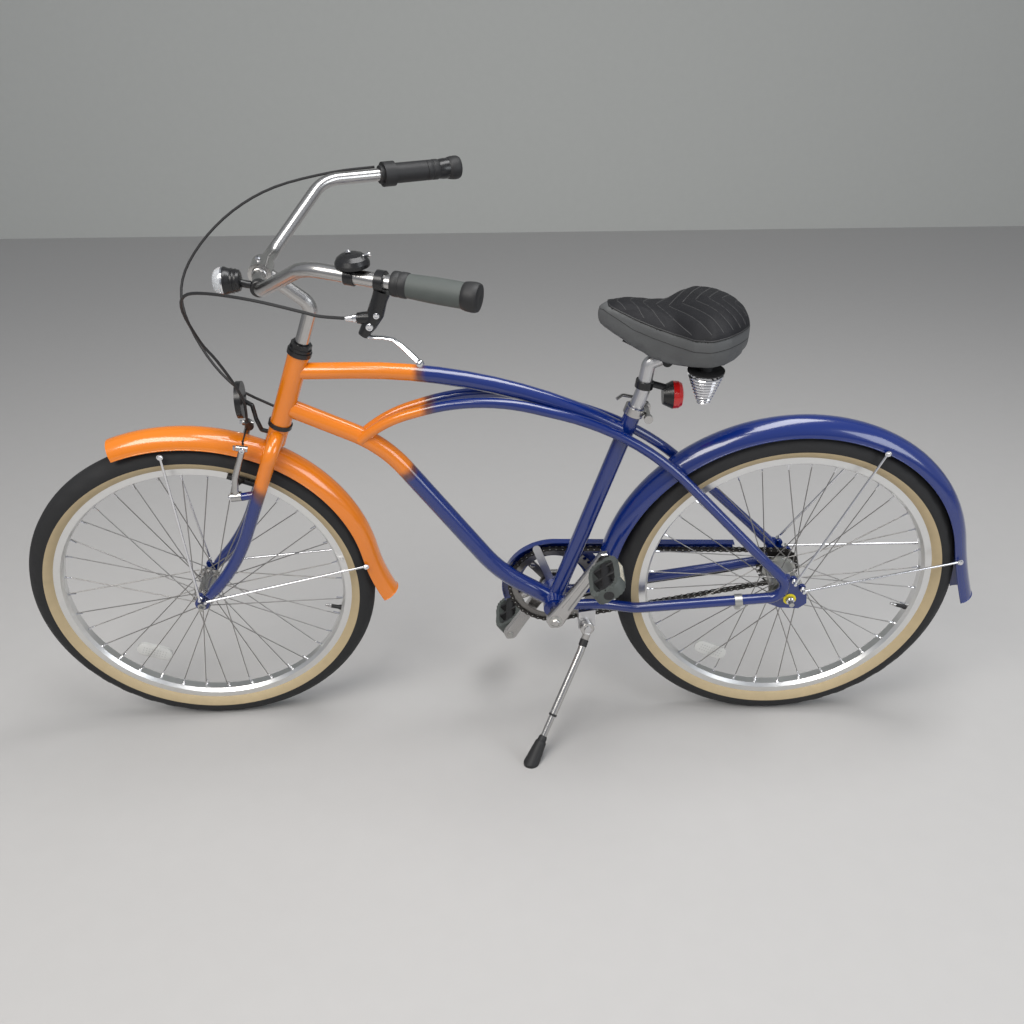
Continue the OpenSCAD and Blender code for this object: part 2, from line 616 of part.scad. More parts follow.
module fork_tip() translate([front_hub_at[0], front_gap / 2 + dropout_t, front_hub_at[2]])
  rotate([90, 0, 0]) linear_extrude(dropout_t) difference() {
    union() {
      circle(r = 14, $fn = 48);
      rotate(24) translate([-7, 0]) square([14, 40]);
      for (q = [turned([wheel_base, 0, axle_z + 19]), turned([wheel_base - 10, 0, axle_z + 13])])
        translate([q[0] - front_hub_at[0], q[2] - front_hub_at[2]]) circle(r = 6, $fn = 24);
    }
    circle(d = front_axle_d + 0.3, $fn = 32);
    translate([-front_axle_d / 2 - 0.15, -20]) square([front_axle_d + 0.3, 20]);
  }
module fork_legs() color("#26327c") steered() difference() {
  both() {
    bent_tube(leg_path, [0, 34, 400, 0], leg_radii);
    rod(turned([992, boss_at[1], 574]), turned(boss_at - [12, 0, -1]), 7.5, 32);
    fork_tip();
  }
  translate([0, 0, -60]) cylinder(d = head_d - 1.9, h = 70, $fn = 64);
}

stem_elbow = turned([865.2, 0, 914.2]);
bar_centre = turned(bar_path[0]);
module stem() color("#c9ccd1") steered() {
  difference() {
    union() {
      bent_tube([[0, 0, head_length + 24.3], [0, 0, stem_elbow[2]], bar_centre], [0, 24, 0], 12.5);
      translate([bar_centre[0], 0, bar_centre[2]]) rotate([90, 0, 0]) cylinder(r = 19, h = 44, center = true, $fn = 64);
    }
    translate([bar_centre[0], 0, bar_centre[2]]) rotate([90, 0, 0])
      cylinder(d = bar_centre_d + 0.1, h = 60, center = true, $fn = 64);
  }
}

bar_points = [for (p = bar_path) turned(p)];
bar_end = bar_points[4];
bar_dir = unit(bar_points[4] - bar_points[3]);
// Turns the Z axis along the bar's grip end, with the end at z 0
module on_bar(at) {
  multmatrix(placed(any_normal(bar_dir), cross(bar_dir, any_normal(bar_dir)), bar_dir, bar_end + at * bar_dir))
    children();
}
module handlebar() color("#c9ccd1") steered() {
  bent_tube(bar_points, bar_bends, bar_d / 2);
  mirror([0, 1, 0]) bent_tube(concat([for (i = [0:3]) bar_points[i]], [bar_end - bar_trim * bar_dir]), bar_bends,
    bar_d / 2);
  translate([bar_centre[0], 0, bar_centre[2]]) rotate([90, 0, 0])
    cylinder(d = bar_centre_d, h = 56, center = true, $fn = 64);
}

module ring(r, h, bore, fn = 48) {
  difference() {
    cylinder(r = r, h = h, $fn = fn);
    translate([0, 0, -1]) cylinder(r = bore, h = h + 2, $fn = fn);
  }
}

// Grip profile: collar, waist and flared end, over the given length
module grip_shape(length) {
  bore = bar_d / 2 + 0.05;
  r = grip_d / 2;
  rotate_extrude($fn = 48) polygon([[bore, 3 - length], [r + 0.5, 3 - length], [r + 1, 5 - length],
    [r + 1, 20 - length], [r - 0.3, 22 - length], [r + 0.6, -0.55 * length], [r + 0.8, -30], [r + 2.4, -16],
    [r + 3.4, -12], [r + 4, -4], [r + 3.4, 2], [r + 1.5, 4], [0, 4], [0, 1], [bore, 1]]);
}
module grips() color("#4a5150") steered() {
  on_bar(0) grip_shape(grip_length);
  mirror([0, 1, 0]) on_bar(-bar_trim) grip_shape(grip_length - shifter_length);
}

// Twist shifter: knurled sleeve, then a wide housing with the indicator and the cable's way in
module twist_shifter() color("#202024") steered() mirror([0, 1, 0]) on_bar(-bar_trim) {
  bore = bar_d / 2 + 0.05;
  translate([0, 0, 2 - grip_length]) ring(18, shifter_length, bore);
  difference() {
    union() {
      translate([0, 0, -grip_length - 20]) cylinder(r = 22, h = 21.8, $fn = 48);
      translate([0, 0, -grip_length - 26]) cylinder(r = 16, h = 10, $fn = 48);
      rotate([0, 0, shifter_turn]) translate([4, -8, -grip_length - 30]) cube([26, 16, 26]);
    }
    translate([0, 0, -grip_length - 40]) cylinder(r = bore, h = 60, $fn = 48);
  }
}

// Clamp, bracket and curved blade
module brake_lever() color("#202024") steered() {
  on_bar(-150) ring(16, 14, bar_d / 2 + 0.05);
  bent_tube([turned([729, 258, 1038]), turned([741, 261, 1006]), turned([762, 263, 974])], [0, 20, 0], [8, 8, 7], 12);
  rod(turned([744, 262, 1000]), turned([786, 262, 1001]), 5.5, 24);
  bent_tube([turned([764, 262, 978]), turned([740, 264, 970]), turned([721, 270, 971]), turned([681, 300, 942])],
    [0, 6, 14, 0], [6, 5.5, 5, 5], 12);
}

module bell() color("#202024") steered() {
  at = turned([773, 237.6, 1054]);
  on_bar(-(norm(bar_end - at))) translate([0, 0, -7]) ring(13.6, 14, bar_d / 2 + 0.1);
  translate(at + [0, 0, 12.5]) rotate([0, head_angle, 0]) rotate_extrude($fn = 48)
    polygon([[0, 0], [8, 0], [8, 4], [25, 4], [25, 9], [22, 15], [16, 19.5], [8, 22], [0, 22.5]]);
}

module head_lamp_body() color("#202024") steered() {
  upright([960, 70, 989]) rotate([0, 90, 0]) cylinder(r1 = 20, r2 = 27, h = 36, $fn = 64);
  upright([943.7, 70, 975]) translate([0, -6, 0]) cube([25, 12, 14]);
}

module head_lamp_lens() color("#e0e6ea") steered()
  upright([996.2, 70, 989]) rotate([0, 90, 0]) cylinder(r = 26, h = 7, $fn = 64);

module front_reflector() color("#202024") steered() {
  // Flat strap up from the crown, then forward and up to the round reflector
  bent_tube([[head_d / 2 - 0.8, 0, -26], [head_d / 2 + 10, 0, -26], turned([986, 0, 702]), turned([989, 0, 730]),
    turned([1004, 0, 741])], [0, 5, 8, 6, 0], 4, 12);
  upright([1008, 0, 742]) rotate([0, 90, 0]) cylinder(r = 33, h = 10, center = true, $fn = 64);
}

module brake_arms() color("#b5b7ba") steered() both() {
  bent_tube([turned(boss_at - [0, 0, 6]), turned([1031, 51, 612]), turned([1010, 46, 669])], [0, 40, 0], 6, 16);
  rod(turned(boss_at - [11.7, 0, -1]), turned(boss_at + [7, 0, 0]), 9, 32);
  rod(turned([1001, 46, 667]), turned([1021, 46, 671]), 5.5, 24);
}

pad_r = bead_radius + 1.5;
pad_y = rim_width / 2 + 1.5 + 5;
// A point near the rim, at an angle from straight ahead
function on_rim(a, r, y) = [front_hub_at[0] + r * cos(a - head_angle), y, front_hub_at[2] + r * sin(a - head_angle)];
module brake_pads() color("#202024") steered() both() {
  rod(on_rim(108, pad_r, pad_y), on_rim(120, pad_r, pad_y), 5, 16);
  rod(on_rim(114, pad_r, pad_y), turned([1031, 44.2, 594]), 3.5, 16);
}

// From the lever round to the boot over the fender, and the bare wire between the arms
brake_route = [[786, 262, 1001], [821, 258, 1004], [848, 250, 1009], [918, 225, 1019], [992, 180, 1014], [1033, 140, 995],
  [1050, 100, 953], [1042, 60, 882], [1024, 50, 843], [1002, 40, 786], [996, 28, 745], [1001, 12, 702]];
module brake_cable() color("#202024") steered() {
  cord([for (q = brake_route) turned(q)], 2.5, 4);
  cone(turned([1001, 13, 705]), turned([1002, -8, 683]), 4, 8, 24);
  rod(turned([1008, -40, 680]), turned([1008, 40, 680]), 1.5, 12);
  for (y = [-40, 40]) rod(turned([1008, y, 681.4]), turned([1009, y, 673]), 2, 12);
}

module front_axle() color("#9fa5ad") steered() translate(front_hub_at) rotate([90, 0, 0]) {
  cylinder(d = front_axle_d, h = front_axle_length, center = true, $fn = 48);
  for (s = [-1, 1]) {
    translate([0, 0, s * (front_gap / 2 + dropout_t + 4.2)]) cylinder(d = 16, h = 8, center = true, $fn = 6);
    translate([0, 0, s * (front_gap / 2 - 3.3)]) cylinder(d = 15, h = 6.2, center = true, $fn = 48);
  }
}

// Wheels, drawn about the Y axis

module tyre() rotate([90, 0, 0]) rotate_extrude($fn = 180) difference() {
  union() {
    difference() {
      translate([ring_r, 0]) circle(r = section_r, $fn = 64);
      translate([0, -40]) square([bead_radius + 6.5 + seat_fit, 80]);
    }
    translate([bead_radius + seat_fit, -rim_width / 2 + 2.7 + seat_fit])
      square([20, rim_width - 5.4 - 2 * seat_fit]);
  }
  translate([ring_r, 0]) circle(r = section_r - tyre_wall, $fn = 64);
  translate([bead_radius - 5, -rim_width / 2 + 7]) square([20, rim_width - 14]);
}

module rim() rotate([90, 0, 0]) rotate_extrude($fn = 180) let (w = rim_width / 2, o = bead_radius + 6.5)
  polygon([[o, w], [o, w - 2.7], [bead_radius, w - 2.7], [bead_radius - 3.5, w - 8], [bead_radius - 3.5, 8 - w],
    [bead_radius, 2.7 - w], [o, 2.7 - w], [o, -w], [rim_in + 5, -w], [rim_in, 7 - w], [rim_in, w - 7],
    [rim_in + 5, w]]);

module spokes(gap, hole_r) for (i = [0:35]) {
  side = i % 2 == 0 ? 1 : -1;
  lead = floor(i / 2) % 2 == 0 ? 1 : -1;
  a = 10 * i + 5;
  b = a + 60 * lead;
  // An outer spoke starts a little further out, as it slants in over the flange's edge
  hub_y = side * (gap / 2 + lead * (flange_t / 2 + spoke_d / 2 + 0.05) + (lead > 0 ? 0.8 : 0));
  rod([hole_r * cos(b), hub_y, hole_r * sin(b)],
    [(rim_in - 0.3) * cos(a), side * 2.5, (rim_in - 0.3) * sin(a)], spoke_d / 2, 16);
}

module hub(gap, flange_r, barrel_r, width, bore) rotate([90, 0, 0]) difference() {
  union() {
    cylinder(r = barrel_r, h = width, center = true, $fn = 64);
    for (s = [-1, 1]) translate([0, 0, s * gap / 2]) cylinder(r = flange_r, h = flange_t, center = true, $fn = 72);
  }
  cylinder(d = bore, h = width + 2, center = true, $fn = 48);
}

module front_wheel_place() {
  steered() translate(front_hub_at) children();
}

module rear_wheel_place() {
  leaned() translate([0, 0, axle_z]) children();
}

module front_tyre() color("#d8c9a4") front_wheel_place() tyre();
module front_rim() color("#b5b7ba") front_wheel_place() rim();
module front_spokes() color("#b5b7ba") front_wheel_place() rotate([0, -5, 0])
  spokes(front_flange_gap, front_flange_r - 3);
module front_hub() color("#b5b7ba") front_wheel_place()
  hub(front_flange_gap, front_flange_r, 14, 86, front_axle_d + 2 * pin_fit);
module front_wheel_reflector() color("#e8e8e4") front_wheel_place() rotate([0, 50, 0]) translate([207, 0, 0])
  cube([60, 10, 26], center = true);
module rear_tyre() color("#d8c9a4") rear_wheel_place() tyre();
module rear_rim() color("#b5b7ba") rear_wheel_place() rim();
module rear_spokes() color("#b5b7ba") rear_wheel_place() spokes(rear_flange_gap, rear_flange_r - 3);
driver_r = 13.7;
module rear_hub() color("#9fa5ad") rear_wheel_place() {
  hub(rear_flange_gap, rear_flange_r, 27, 76, rear_axle_d + 2 * pin_fit);
  rotate([90, 0, 0]) translate([0, 0, 38]) {
    ring(18, chain_line - 39.5, rear_axle_d / 2 + pin_fit);
    ring(driver_r, 11, rear_axle_d / 2 + pin_fit);
  }
}
module rear_wheel_reflector() color("#e8e8e4") rear_wheel_place() rotate([0, 55, 0]) translate([219, 0, 0])
  cube([60, 6.6, 26], center = true);

module toothed(r, teeth, t, root) {
  linear_extrude(t, center = true) difference() {
    circle(r = r + 3.6, $fn = 96);
    for (i = [0:teeth - 1]) rotate(360 * (i + 0.5) / teeth) translate([r, 0]) circle(r = 4, $fn = 16);
  }
}
module rear_sprocket() color("#2a2a2c") rear_wheel_place() translate([0, -chain_line, 0]) rotate([90, 0, 0])
  difference() {
    toothed(sprocket_r, sprocket_teeth, 2.4, 0);
    cylinder(r = driver_r + 0.3, h = 10, center = true, $fn = 48);
  }

module at_crank() {
  leaned() translate(crank_centre) rotate([0, -crank_angle, 0]) children();
}

module crank_arm() hull() {
  translate([0, 76, 0]) rotate([90, 0, 0]) cylinder(r = 18, h = 14, $fn = 48);
  translate([crank_length, 76, 0]) rotate([90, 0, 0]) cylinder(r = 14, h = 14, $fn = 48);
}
module crank_arms() color("#c9ccd1") at_crank() {
  crank_arm();
  rotate([0, 180, 0]) mirror([0, 1, 0]) crank_arm();
  rotate([90, 0, 0]) cylinder(d = 18, h = 123.9, center = true, $fn = 48);
  for (s = [-1, 1]) rod([s * crank_length, s * 76.05, 0], [s * crank_length, s * (88 + pedal_width - 6), 0], 6);
}

module chainring() color("#8d9096") at_crank() translate([0, -chain_line, 0]) rotate([90, 0, 0])
  linear_extrude(2.4, center = true) difference() {
    circle(r = chainring_r + 3.6, $fn = 120);
    for (i = [0:ring_teeth - 1]) rotate(360 * (i + 0.5) / ring_teeth) translate([chainring_r, 0]) circle(r = 4, $fn = 16);
    difference() {
      circle(r = 74, $fn = 96);
      circle(r = 30, $fn = 72);
      for (i = [0:4]) rotate(72 * i) translate([0, -8]) square([90, 16]);
    }
    circle(r = 9.3, $fn = 48);
  }

module pedal(side) translate([0, side * 88, 0]) scale([1, side, 1]) difference() {
  union() {
    difference() {
      translate([-pedal_length / 2, 0, -pedal_t / 2]) cube([pedal_length, pedal_width, pedal_t]);
      for (s = [-1, 1]) translate([s * 18 - 8, 12, -50]) cube([16, pedal_width - 24, 100]);
    }
    rod([0, 0.5, 0], [0, pedal_width - 0.5, 0], 12);
  }
  rod([0, -1, 0], [0, pedal_width - 5, 0], 6 + pin_fit);
}
module left_pedal() color("#5a625c") at_crank() translate([crank_length, 0, 0]) rotate([0, crank_angle + 36, 0])
  pedal(1);
module right_pedal() color("#5a625c") at_crank() translate([-crank_length, 0, 0]) rotate([0, crank_angle + 36, 0])
  pedal(-1);

// Side stand

module stand_leg() color("#c9ccd1") leaned() {
  difference() {
    rod(stand_pivot - 5.9 * stand_axis, stand_pivot + 7.6 * stand_axis, 14, 48);
    rod(stand_pivot - 20 * stand_axis, stand_pivot + 40 * stand_axis, stand_pin_r + pin_fit, 32);
  }
  bent_tube([stand_pivot + [-0.7, 4.7, -9.6], stand_pivot + [3.3, 6.7, -22.6], stand_bend,
    stand_sole + 0.1 * (stand_bend - stand_sole)], [0, 12, 60, 0], stand_d / 2);
}
module stand_foot() color("#202024") leaned() difference() {
  hull() {
    translate(stand_sole) rotate([lean, -nose_down, 0]) cylinder(d = stand_foot_d, h = 6, $fn = 32);
    translate(stand_sole + 0.18 * (stand_bend - stand_sole)) sphere(d = stand_d + 6, $fn = 24);
  }
  rod(stand_sole + 0.095 * (stand_bend - stand_sole), stand_bend, stand_d / 2 + 0.1);
}

bar_route = [[752, -272, 1060], [830, -258, 1057], [931, -240, 1040], [1007, -215, 1008], [1068, -185, 960],
  [1104, -155, 907], [1103, -120, 856], [1069, -80, 791], [1021, -50, 741], [966, -36, 712]];
module shift_cable_bar() color("#202024") steered() cord([for (q = bar_route) turned(q)], 2.5, 4);

// A place of the steered parts, as parked, in the frame's own axes
function parked(p) = let (q = turned(p), c = cos(steer_turn), d = sin(steer_turn))
  head_foot + (q[0] * c - q[1] * d) * steer_out + [0, q[0] * d + q[1] * c, 0] + q[2] * steer_up;
frame_route = [[930, -26, 700], [870, -23, 696], [800, -23.5, 661], [735, -22, 610], [680, -21, 530], [610, -21, 432],
  [560, -21, 362], [505, -22, 310], [465, -22, 262], [430, -24, 264], [380, -27, 276], [330, -36, 281],
  [285, -48, 285], [180, -56, 297], [90, -60, 309], [30, -74, 320], [12, -80, 330]];
module shift_cable_frame() color("#202024") leaned()
  let (q = parked(bar_route[len(bar_route) - 1]))
    cord(concat([q + 0.6 * unit(frame_route[0] - q)], frame_route), 2.5, 3);

head_tube();
headset();
top_tube();
down_tube();
seat_tube();
bottom_bracket();
side_rails();
chain_stays();
seat_post();
seat_clamp();
saddle();
saddle_frame();
saddle_springs();
rear_lamp_body();
rear_lamp_lens();
rear_fender();
rear_fender_stays();
chain_guard();
guard_bracket();
chain();
brake_reaction_arm();
rear_axle();
stand_mount();
steerer();
fork_crown();
fork_legs();
stem();
handlebar();
grips();
twist_shifter();
brake_lever();
bell();
head_lamp_body();
head_lamp_lens();
front_fender();
front_fender_stays();
front_reflector();
brake_arms();
brake_pads();
brake_cable();
front_axle();
front_tyre();
front_rim();
front_spokes();
front_hub();
front_wheel_reflector();
rear_tyre();
rear_rim();
rear_spokes();
rear_hub();
rear_sprocket();
rear_wheel_reflector();
crank_arms();
chainring();
left_pedal();
right_pedal();
stand_leg();
stand_foot();
shift_cable_bar();
shift_cable_frame();
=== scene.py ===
import math

import bmesh
import bpy
from mathutils import Matrix, Vector
from mathutils.bvhtree import BVHTree


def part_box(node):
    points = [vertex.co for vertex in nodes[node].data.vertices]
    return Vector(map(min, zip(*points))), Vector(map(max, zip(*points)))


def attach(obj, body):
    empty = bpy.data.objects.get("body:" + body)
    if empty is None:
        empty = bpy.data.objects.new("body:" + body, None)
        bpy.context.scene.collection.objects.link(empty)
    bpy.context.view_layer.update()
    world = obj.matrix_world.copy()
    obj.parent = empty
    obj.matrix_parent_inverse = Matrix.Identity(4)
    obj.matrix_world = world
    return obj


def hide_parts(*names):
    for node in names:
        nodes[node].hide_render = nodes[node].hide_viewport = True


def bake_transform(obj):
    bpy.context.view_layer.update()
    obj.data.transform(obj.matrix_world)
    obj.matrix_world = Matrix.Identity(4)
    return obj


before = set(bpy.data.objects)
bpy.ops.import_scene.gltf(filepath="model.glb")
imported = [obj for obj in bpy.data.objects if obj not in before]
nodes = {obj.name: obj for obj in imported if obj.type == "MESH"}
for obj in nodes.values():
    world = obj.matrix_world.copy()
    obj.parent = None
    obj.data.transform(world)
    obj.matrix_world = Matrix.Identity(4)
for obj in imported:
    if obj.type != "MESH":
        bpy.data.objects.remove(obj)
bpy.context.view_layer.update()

# ---------------------------------------------------------------- stance, as in the CAD source
SHIFT = Vector((-0.54454, -0.12918, 0.00026))
LEAN = Matrix.Rotation(math.radians(0.033), 4, "Y") @ Matrix.Rotation(math.radians(-8), 4, "X")
PARK = Matrix.Translation(SHIFT) @ LEAN
HEAD = Vector((0.9436, 0.0, 0.6938))
TILT = Matrix.Rotation(math.radians(-20.4), 4, "Y")
STEER = PARK @ Matrix.Translation(HEAD) @ TILT @ Matrix.Rotation(math.radians(5), 4, "Z")


# ---------------------------------------------------------------- materials
def material(name, colour, rough=0.4, metal=0.0, coat=0.0, grain=0.0, grain_size=80.0, bump=0.0, bump_size=200.0,
             sheen=0.0, spec=0.5, transmission=0.0, alpha=1.0):
    """Principled material with soft colour grain and a fine bump, both from the piece's own coordinates."""
    mat = bpy.data.materials.new(name)
    mat.use_nodes = True
    tree = mat.node_tree
    bsdf = tree.nodes["Principled BSDF"]
    bsdf.inputs["Base Color"].default_value = (*colour, 1)
    bsdf.inputs["Roughness"].default_value = rough
    bsdf.inputs["Metallic"].default_value = metal
    bsdf.inputs["Coat Weight"].default_value = coat
    bsdf.inputs["Coat Roughness"].default_value = 0.06
    bsdf.inputs["Sheen Weight"].default_value = sheen
    bsdf.inputs["Specular IOR Level"].default_value = spec
    bsdf.inputs["Transmission Weight"].default_value = transmission
    bsdf.inputs["Alpha"].default_value = alpha
    where = tree.nodes.new("ShaderNodeTexCoord")
    if grain:
        noise = tree.nodes.new("ShaderNodeTexNoise")
        noise.inputs["Scale"].default_value = grain_size
        noise.inputs["Detail"].default_value = 5
        tree.links.new(where.outputs["Object"], noise.inputs["Vector"])
        ramp = tree.nodes.new("ShaderNodeMapRange")
        ramp.inputs["To Min"].default_value = 1 - grain
        ramp.inputs["To Max"].default_value = 1 + grain
        tree.links.new(noise.outputs["Fac"], ramp.inputs["Value"])
        mix = tree.nodes.new("ShaderNodeVectorMath")
        mix.operation = "SCALE"
        mix.inputs[0].default_value = colour
        tree.links.new(ramp.outputs["Result"], mix.inputs["Scale"])
        tree.links.new(mix.outputs["Vector"], bsdf.inputs["Base Color"])
        rr = tree.nodes.new("ShaderNodeMapRange")
        rr.inputs["To Min"].default_value = max(0.02, rough - grain / 2)
        rr.inputs["To Max"].default_value = min(1.0, rough + grain / 2)
        tree.links.new(noise.outputs["Fac"], rr.inputs["Value"])
        tree.links.new(rr.outputs["Result"], bsdf.inputs["Roughness"])
    if bump:
        fine = tree.nodes.new("ShaderNodeTexNoise")
        fine.inputs["Scale"].default_value = bump_size
        fine.inputs["Detail"].default_value = 3
        tree.links.new(where.outputs["Object"], fine.inputs["Vector"])
        b = tree.nodes.new("ShaderNodeBump")
        b.inputs["Strength"].default_value = bump
        b.inputs["Distance"].default_value = 0.001
        tree.links.new(fine.outputs["Fac"], b.inputs["Height"])
        tree.links.new(b.outputs["Normal"], bsdf.inputs["Normal"])
    return mat


ORANGE = (0.76, 0.2, 0.004)
BLUE = (0.001, 0.017, 0.15)


def fade_paint(name, start, end):
    """Gloss paint that is orange before start and blue after end, with a soft airbrushed edge between them."""
    mat = material(name, BLUE, rough=0.22, coat=1.0)
    tree = mat.node_tree
    bsdf = tree.nodes["Principled BSDF"]
    where = tree.nodes.new("ShaderNodeTexCoord")
    run = Vector(end) - Vector(start)
    sub = tree.nodes.new("ShaderNodeVectorMath")
    sub.operation = "SUBTRACT"
    sub.inputs[1].default_value = start
    tree.links.new(where.outputs["Object"], sub.inputs[0])
    dot = tree.nodes.new("ShaderNodeVectorMath")
    dot.operation = "DOT_PRODUCT"
    dot.inputs[1].default_value = run / run.length_squared
    tree.links.new(sub.outputs["Vector"], dot.inputs[0])
    noise = tree.nodes.new("ShaderNodeTexNoise")
    noise.inputs["Scale"].default_value = 40
    tree.links.new(where.outputs["Object"], noise.inputs["Vector"])
    shake = tree.nodes.new("ShaderNodeMath")
    shake.operation = "MULTIPLY_ADD"
    shake.inputs[1].default_value = 0.5
    shake.inputs[2].default_value = -0.25
    tree.links.new(noise.outputs["Fac"], shake.inputs[0])
    add = tree.nodes.new("ShaderNodeMath")
    tree.links.new(dot.outputs["Value"], add.inputs[0])
    tree.links.new(shake.outputs["Value"], add.inputs[1])
    ramp = tree.nodes.new("ShaderNodeValToRGB")
    ramp.color_ramp.interpolation = "EASE"
    ramp.color_ramp.elements[0].color = (*ORANGE, 1)
    ramp.color_ramp.elements[1].color = (*BLUE, 1)
    middle = ramp.color_ramp.elements.new(0.55)
    middle.color = (0.11, 0.035, 0.035, 1)
    tree.links.new(add.outputs["Value"], ramp.inputs["Fac"])
    tree.links.new(ramp.outputs["Color"], bsdf.inputs["Base Color"])
    return mat


blue_paint = material("blue_paint", BLUE, rough=0.22, coat=1.0, grain=0.05, grain_size=900)
orange_paint = material("orange_paint", ORANGE, rough=0.24, coat=1.0, grain=0.04, grain_size=900)
chrome = material("chrome", (0.78, 0.78, 0.8), rough=0.12, metal=1.0, grain=0.04)
polished = material("polished_alloy", (0.52, 0.51, 0.5), rough=0.26, metal=1.0, grain=0.05)
satin = material("satin_alloy", (0.62, 0.62, 0.63), rough=0.36, metal=1.0, grain=0.06)
dark_steel = material("dark_steel", (0.045, 0.042, 0.04), rough=0.42, metal=0.8, grain=0.2)
zinc = material("zinc_steel", (0.5, 0.5, 0.48), rough=0.38, metal=1.0, grain=0.1)
rim_alloy = material("rim_alloy", (0.8, 0.8, 0.79), rough=0.3, metal=1.0, grain=0.04)
spoke_steel = material("spoke_steel", (0.34, 0.33, 0.32), rough=0.3, metal=1.0, grain=0.1)
ring_steel = material("ring_steel", (0.26, 0.25, 0.24), rough=0.34, metal=1.0, grain=0.12)
black_gloss = material("black_gloss", (0.012, 0.012, 0.013), rough=0.28, grain=0.1, bump=0.05)
black_matte = material("black_matte", (0.014, 0.014, 0.015), rough=0.55, grain=0.15, bump=0.15)
rubber_grey = material("rubber_grey", (0.075, 0.085, 0.08), rough=0.6, grain=0.12, bump=0.2)
cream = material("cream_rubber", (0.62, 0.5, 0.3), rough=0.6, grain=0.05, bump=0.08)
red_lens = material("red_lens", (0.5, 0.01, 0.01), rough=0.12, coat=0.6, grain=0.1)
clear_lens = material("clear_lens", (0.85, 0.87, 0.9), rough=0.08, transmission=0.6, coat=0.4)
reflector_clear = material("reflector_clear", (0.75, 0.7, 0.55), rough=0.15, coat=0.6)
skin_black = material("saddle_black", (0.016, 0.016, 0.018), rough=0.5, grain=0.15, bump=0.25, bump_size=900)


def world_point(x, y, z):
    return PARK @ Vector((x / 1000, y / 1000, z / 1000))


def steered_fade(z_top, z_low):
    a = STEER @ (TILT.inverted() @ (Vector((0.99, 0, z_top / 1000)) - HEAD))
    b = STEER @ (TILT.inverted() @ (Vector((1.02, 0, z_low / 1000)) - HEAD))
    return a, b


frame_fade = fade_paint("frame_fade", world_point(701, 0, 740), world_point(671, 0, 742))
down_fade = fade_paint("down_tube_fade", world_point(722, 0, 606), world_point(705, 0, 583))
rail_fade = fade_paint("rail_fade", world_point(695, 20, 735), world_point(662, 20, 742))
fork_fade = fade_paint("fork_fade", *steered_fade(602, 578))

looks = {
    orange_paint: ["head_tube", "front_fender", "fork_crown"],
    blue_paint: ["seat_tube", "bottom_bracket", "chain_stays", "rear_fender", "chain_guard"],
    frame_fade: ["top_tube"],
    down_fade: ["down_tube"],
    rail_fade: ["side_rails"],
    fork_fade: ["fork_legs"],
    polished: ["seat_clamp", "stem", "handlebar", "crank_arms", "front_hub", "stand_leg", "brake_arms"],
    satin: ["seat_post", "stand_mount", "guard_bracket"],
    rim_alloy: ["front_rim", "rear_rim"],
    spoke_steel: ["front_spokes", "rear_spokes"],
    ring_steel: ["chainring"],
    chrome: ["rear_fender_stays", "front_fender_stays", "saddle_springs"],
    zinc: ["rear_axle", "front_axle", "rear_hub", "brake_reaction_arm"],
    dark_steel: ["chain", "rear_sprocket"],
    black_gloss: ["rear_lamp_body", "bell", "head_lamp_body", "headset", "steerer", "brake_lever", "front_reflector"],
    black_matte: ["saddle_frame", "brake_pads", "brake_cable", "shift_cable_bar", "shift_cable_frame", "stand_foot",
                  "twist_shifter"],
    rubber_grey: ["grips", "left_pedal", "right_pedal"],
    cream: ["front_tyre", "rear_tyre"],
    red_lens: ["rear_lamp_lens"],
    clear_lens: ["head_lamp_lens"],
    reflector_clear: ["front_wheel_reflector", "rear_wheel_reflector"],
    skin_black: ["saddle"],
}
for mat, names in looks.items():
    for name in names:
        if name in nodes:
            nodes[name].data.materials.clear()
            nodes[name].data.materials.append(mat)

# ---------------------------------------------------------------- placing, as in the CAD source
def in_frame(x, y, z):
    return PARK @ Vector((x / 1000, y / 1000, z / 1000))


def in_steering(x, y, z):
    return STEER @ (TILT.inverted() @ (Vector((x / 1000, y / 1000, z / 1000)) - HEAD))


FRONT = STEER @ Matrix.Translation(TILT.inverted() @ (Vector((1.1385, 0, 0.331)) - HEAD)) @ TILT.inverted()
REAR = PARK @ Matrix.Translation((0, 0, 0.331))
CRANK = PARK @ Matrix.Translation((0.45, 0, 0.29)) @ Matrix.Rotation(math.radians(-121.7), 4, "Y")


def along(a, b, t):
    return a + (b - a) * t


def frame_of(axis):
    z = Vector(axis).normalized()
    x = z.orthogonal().normalized()
    return x, z.cross(x), z


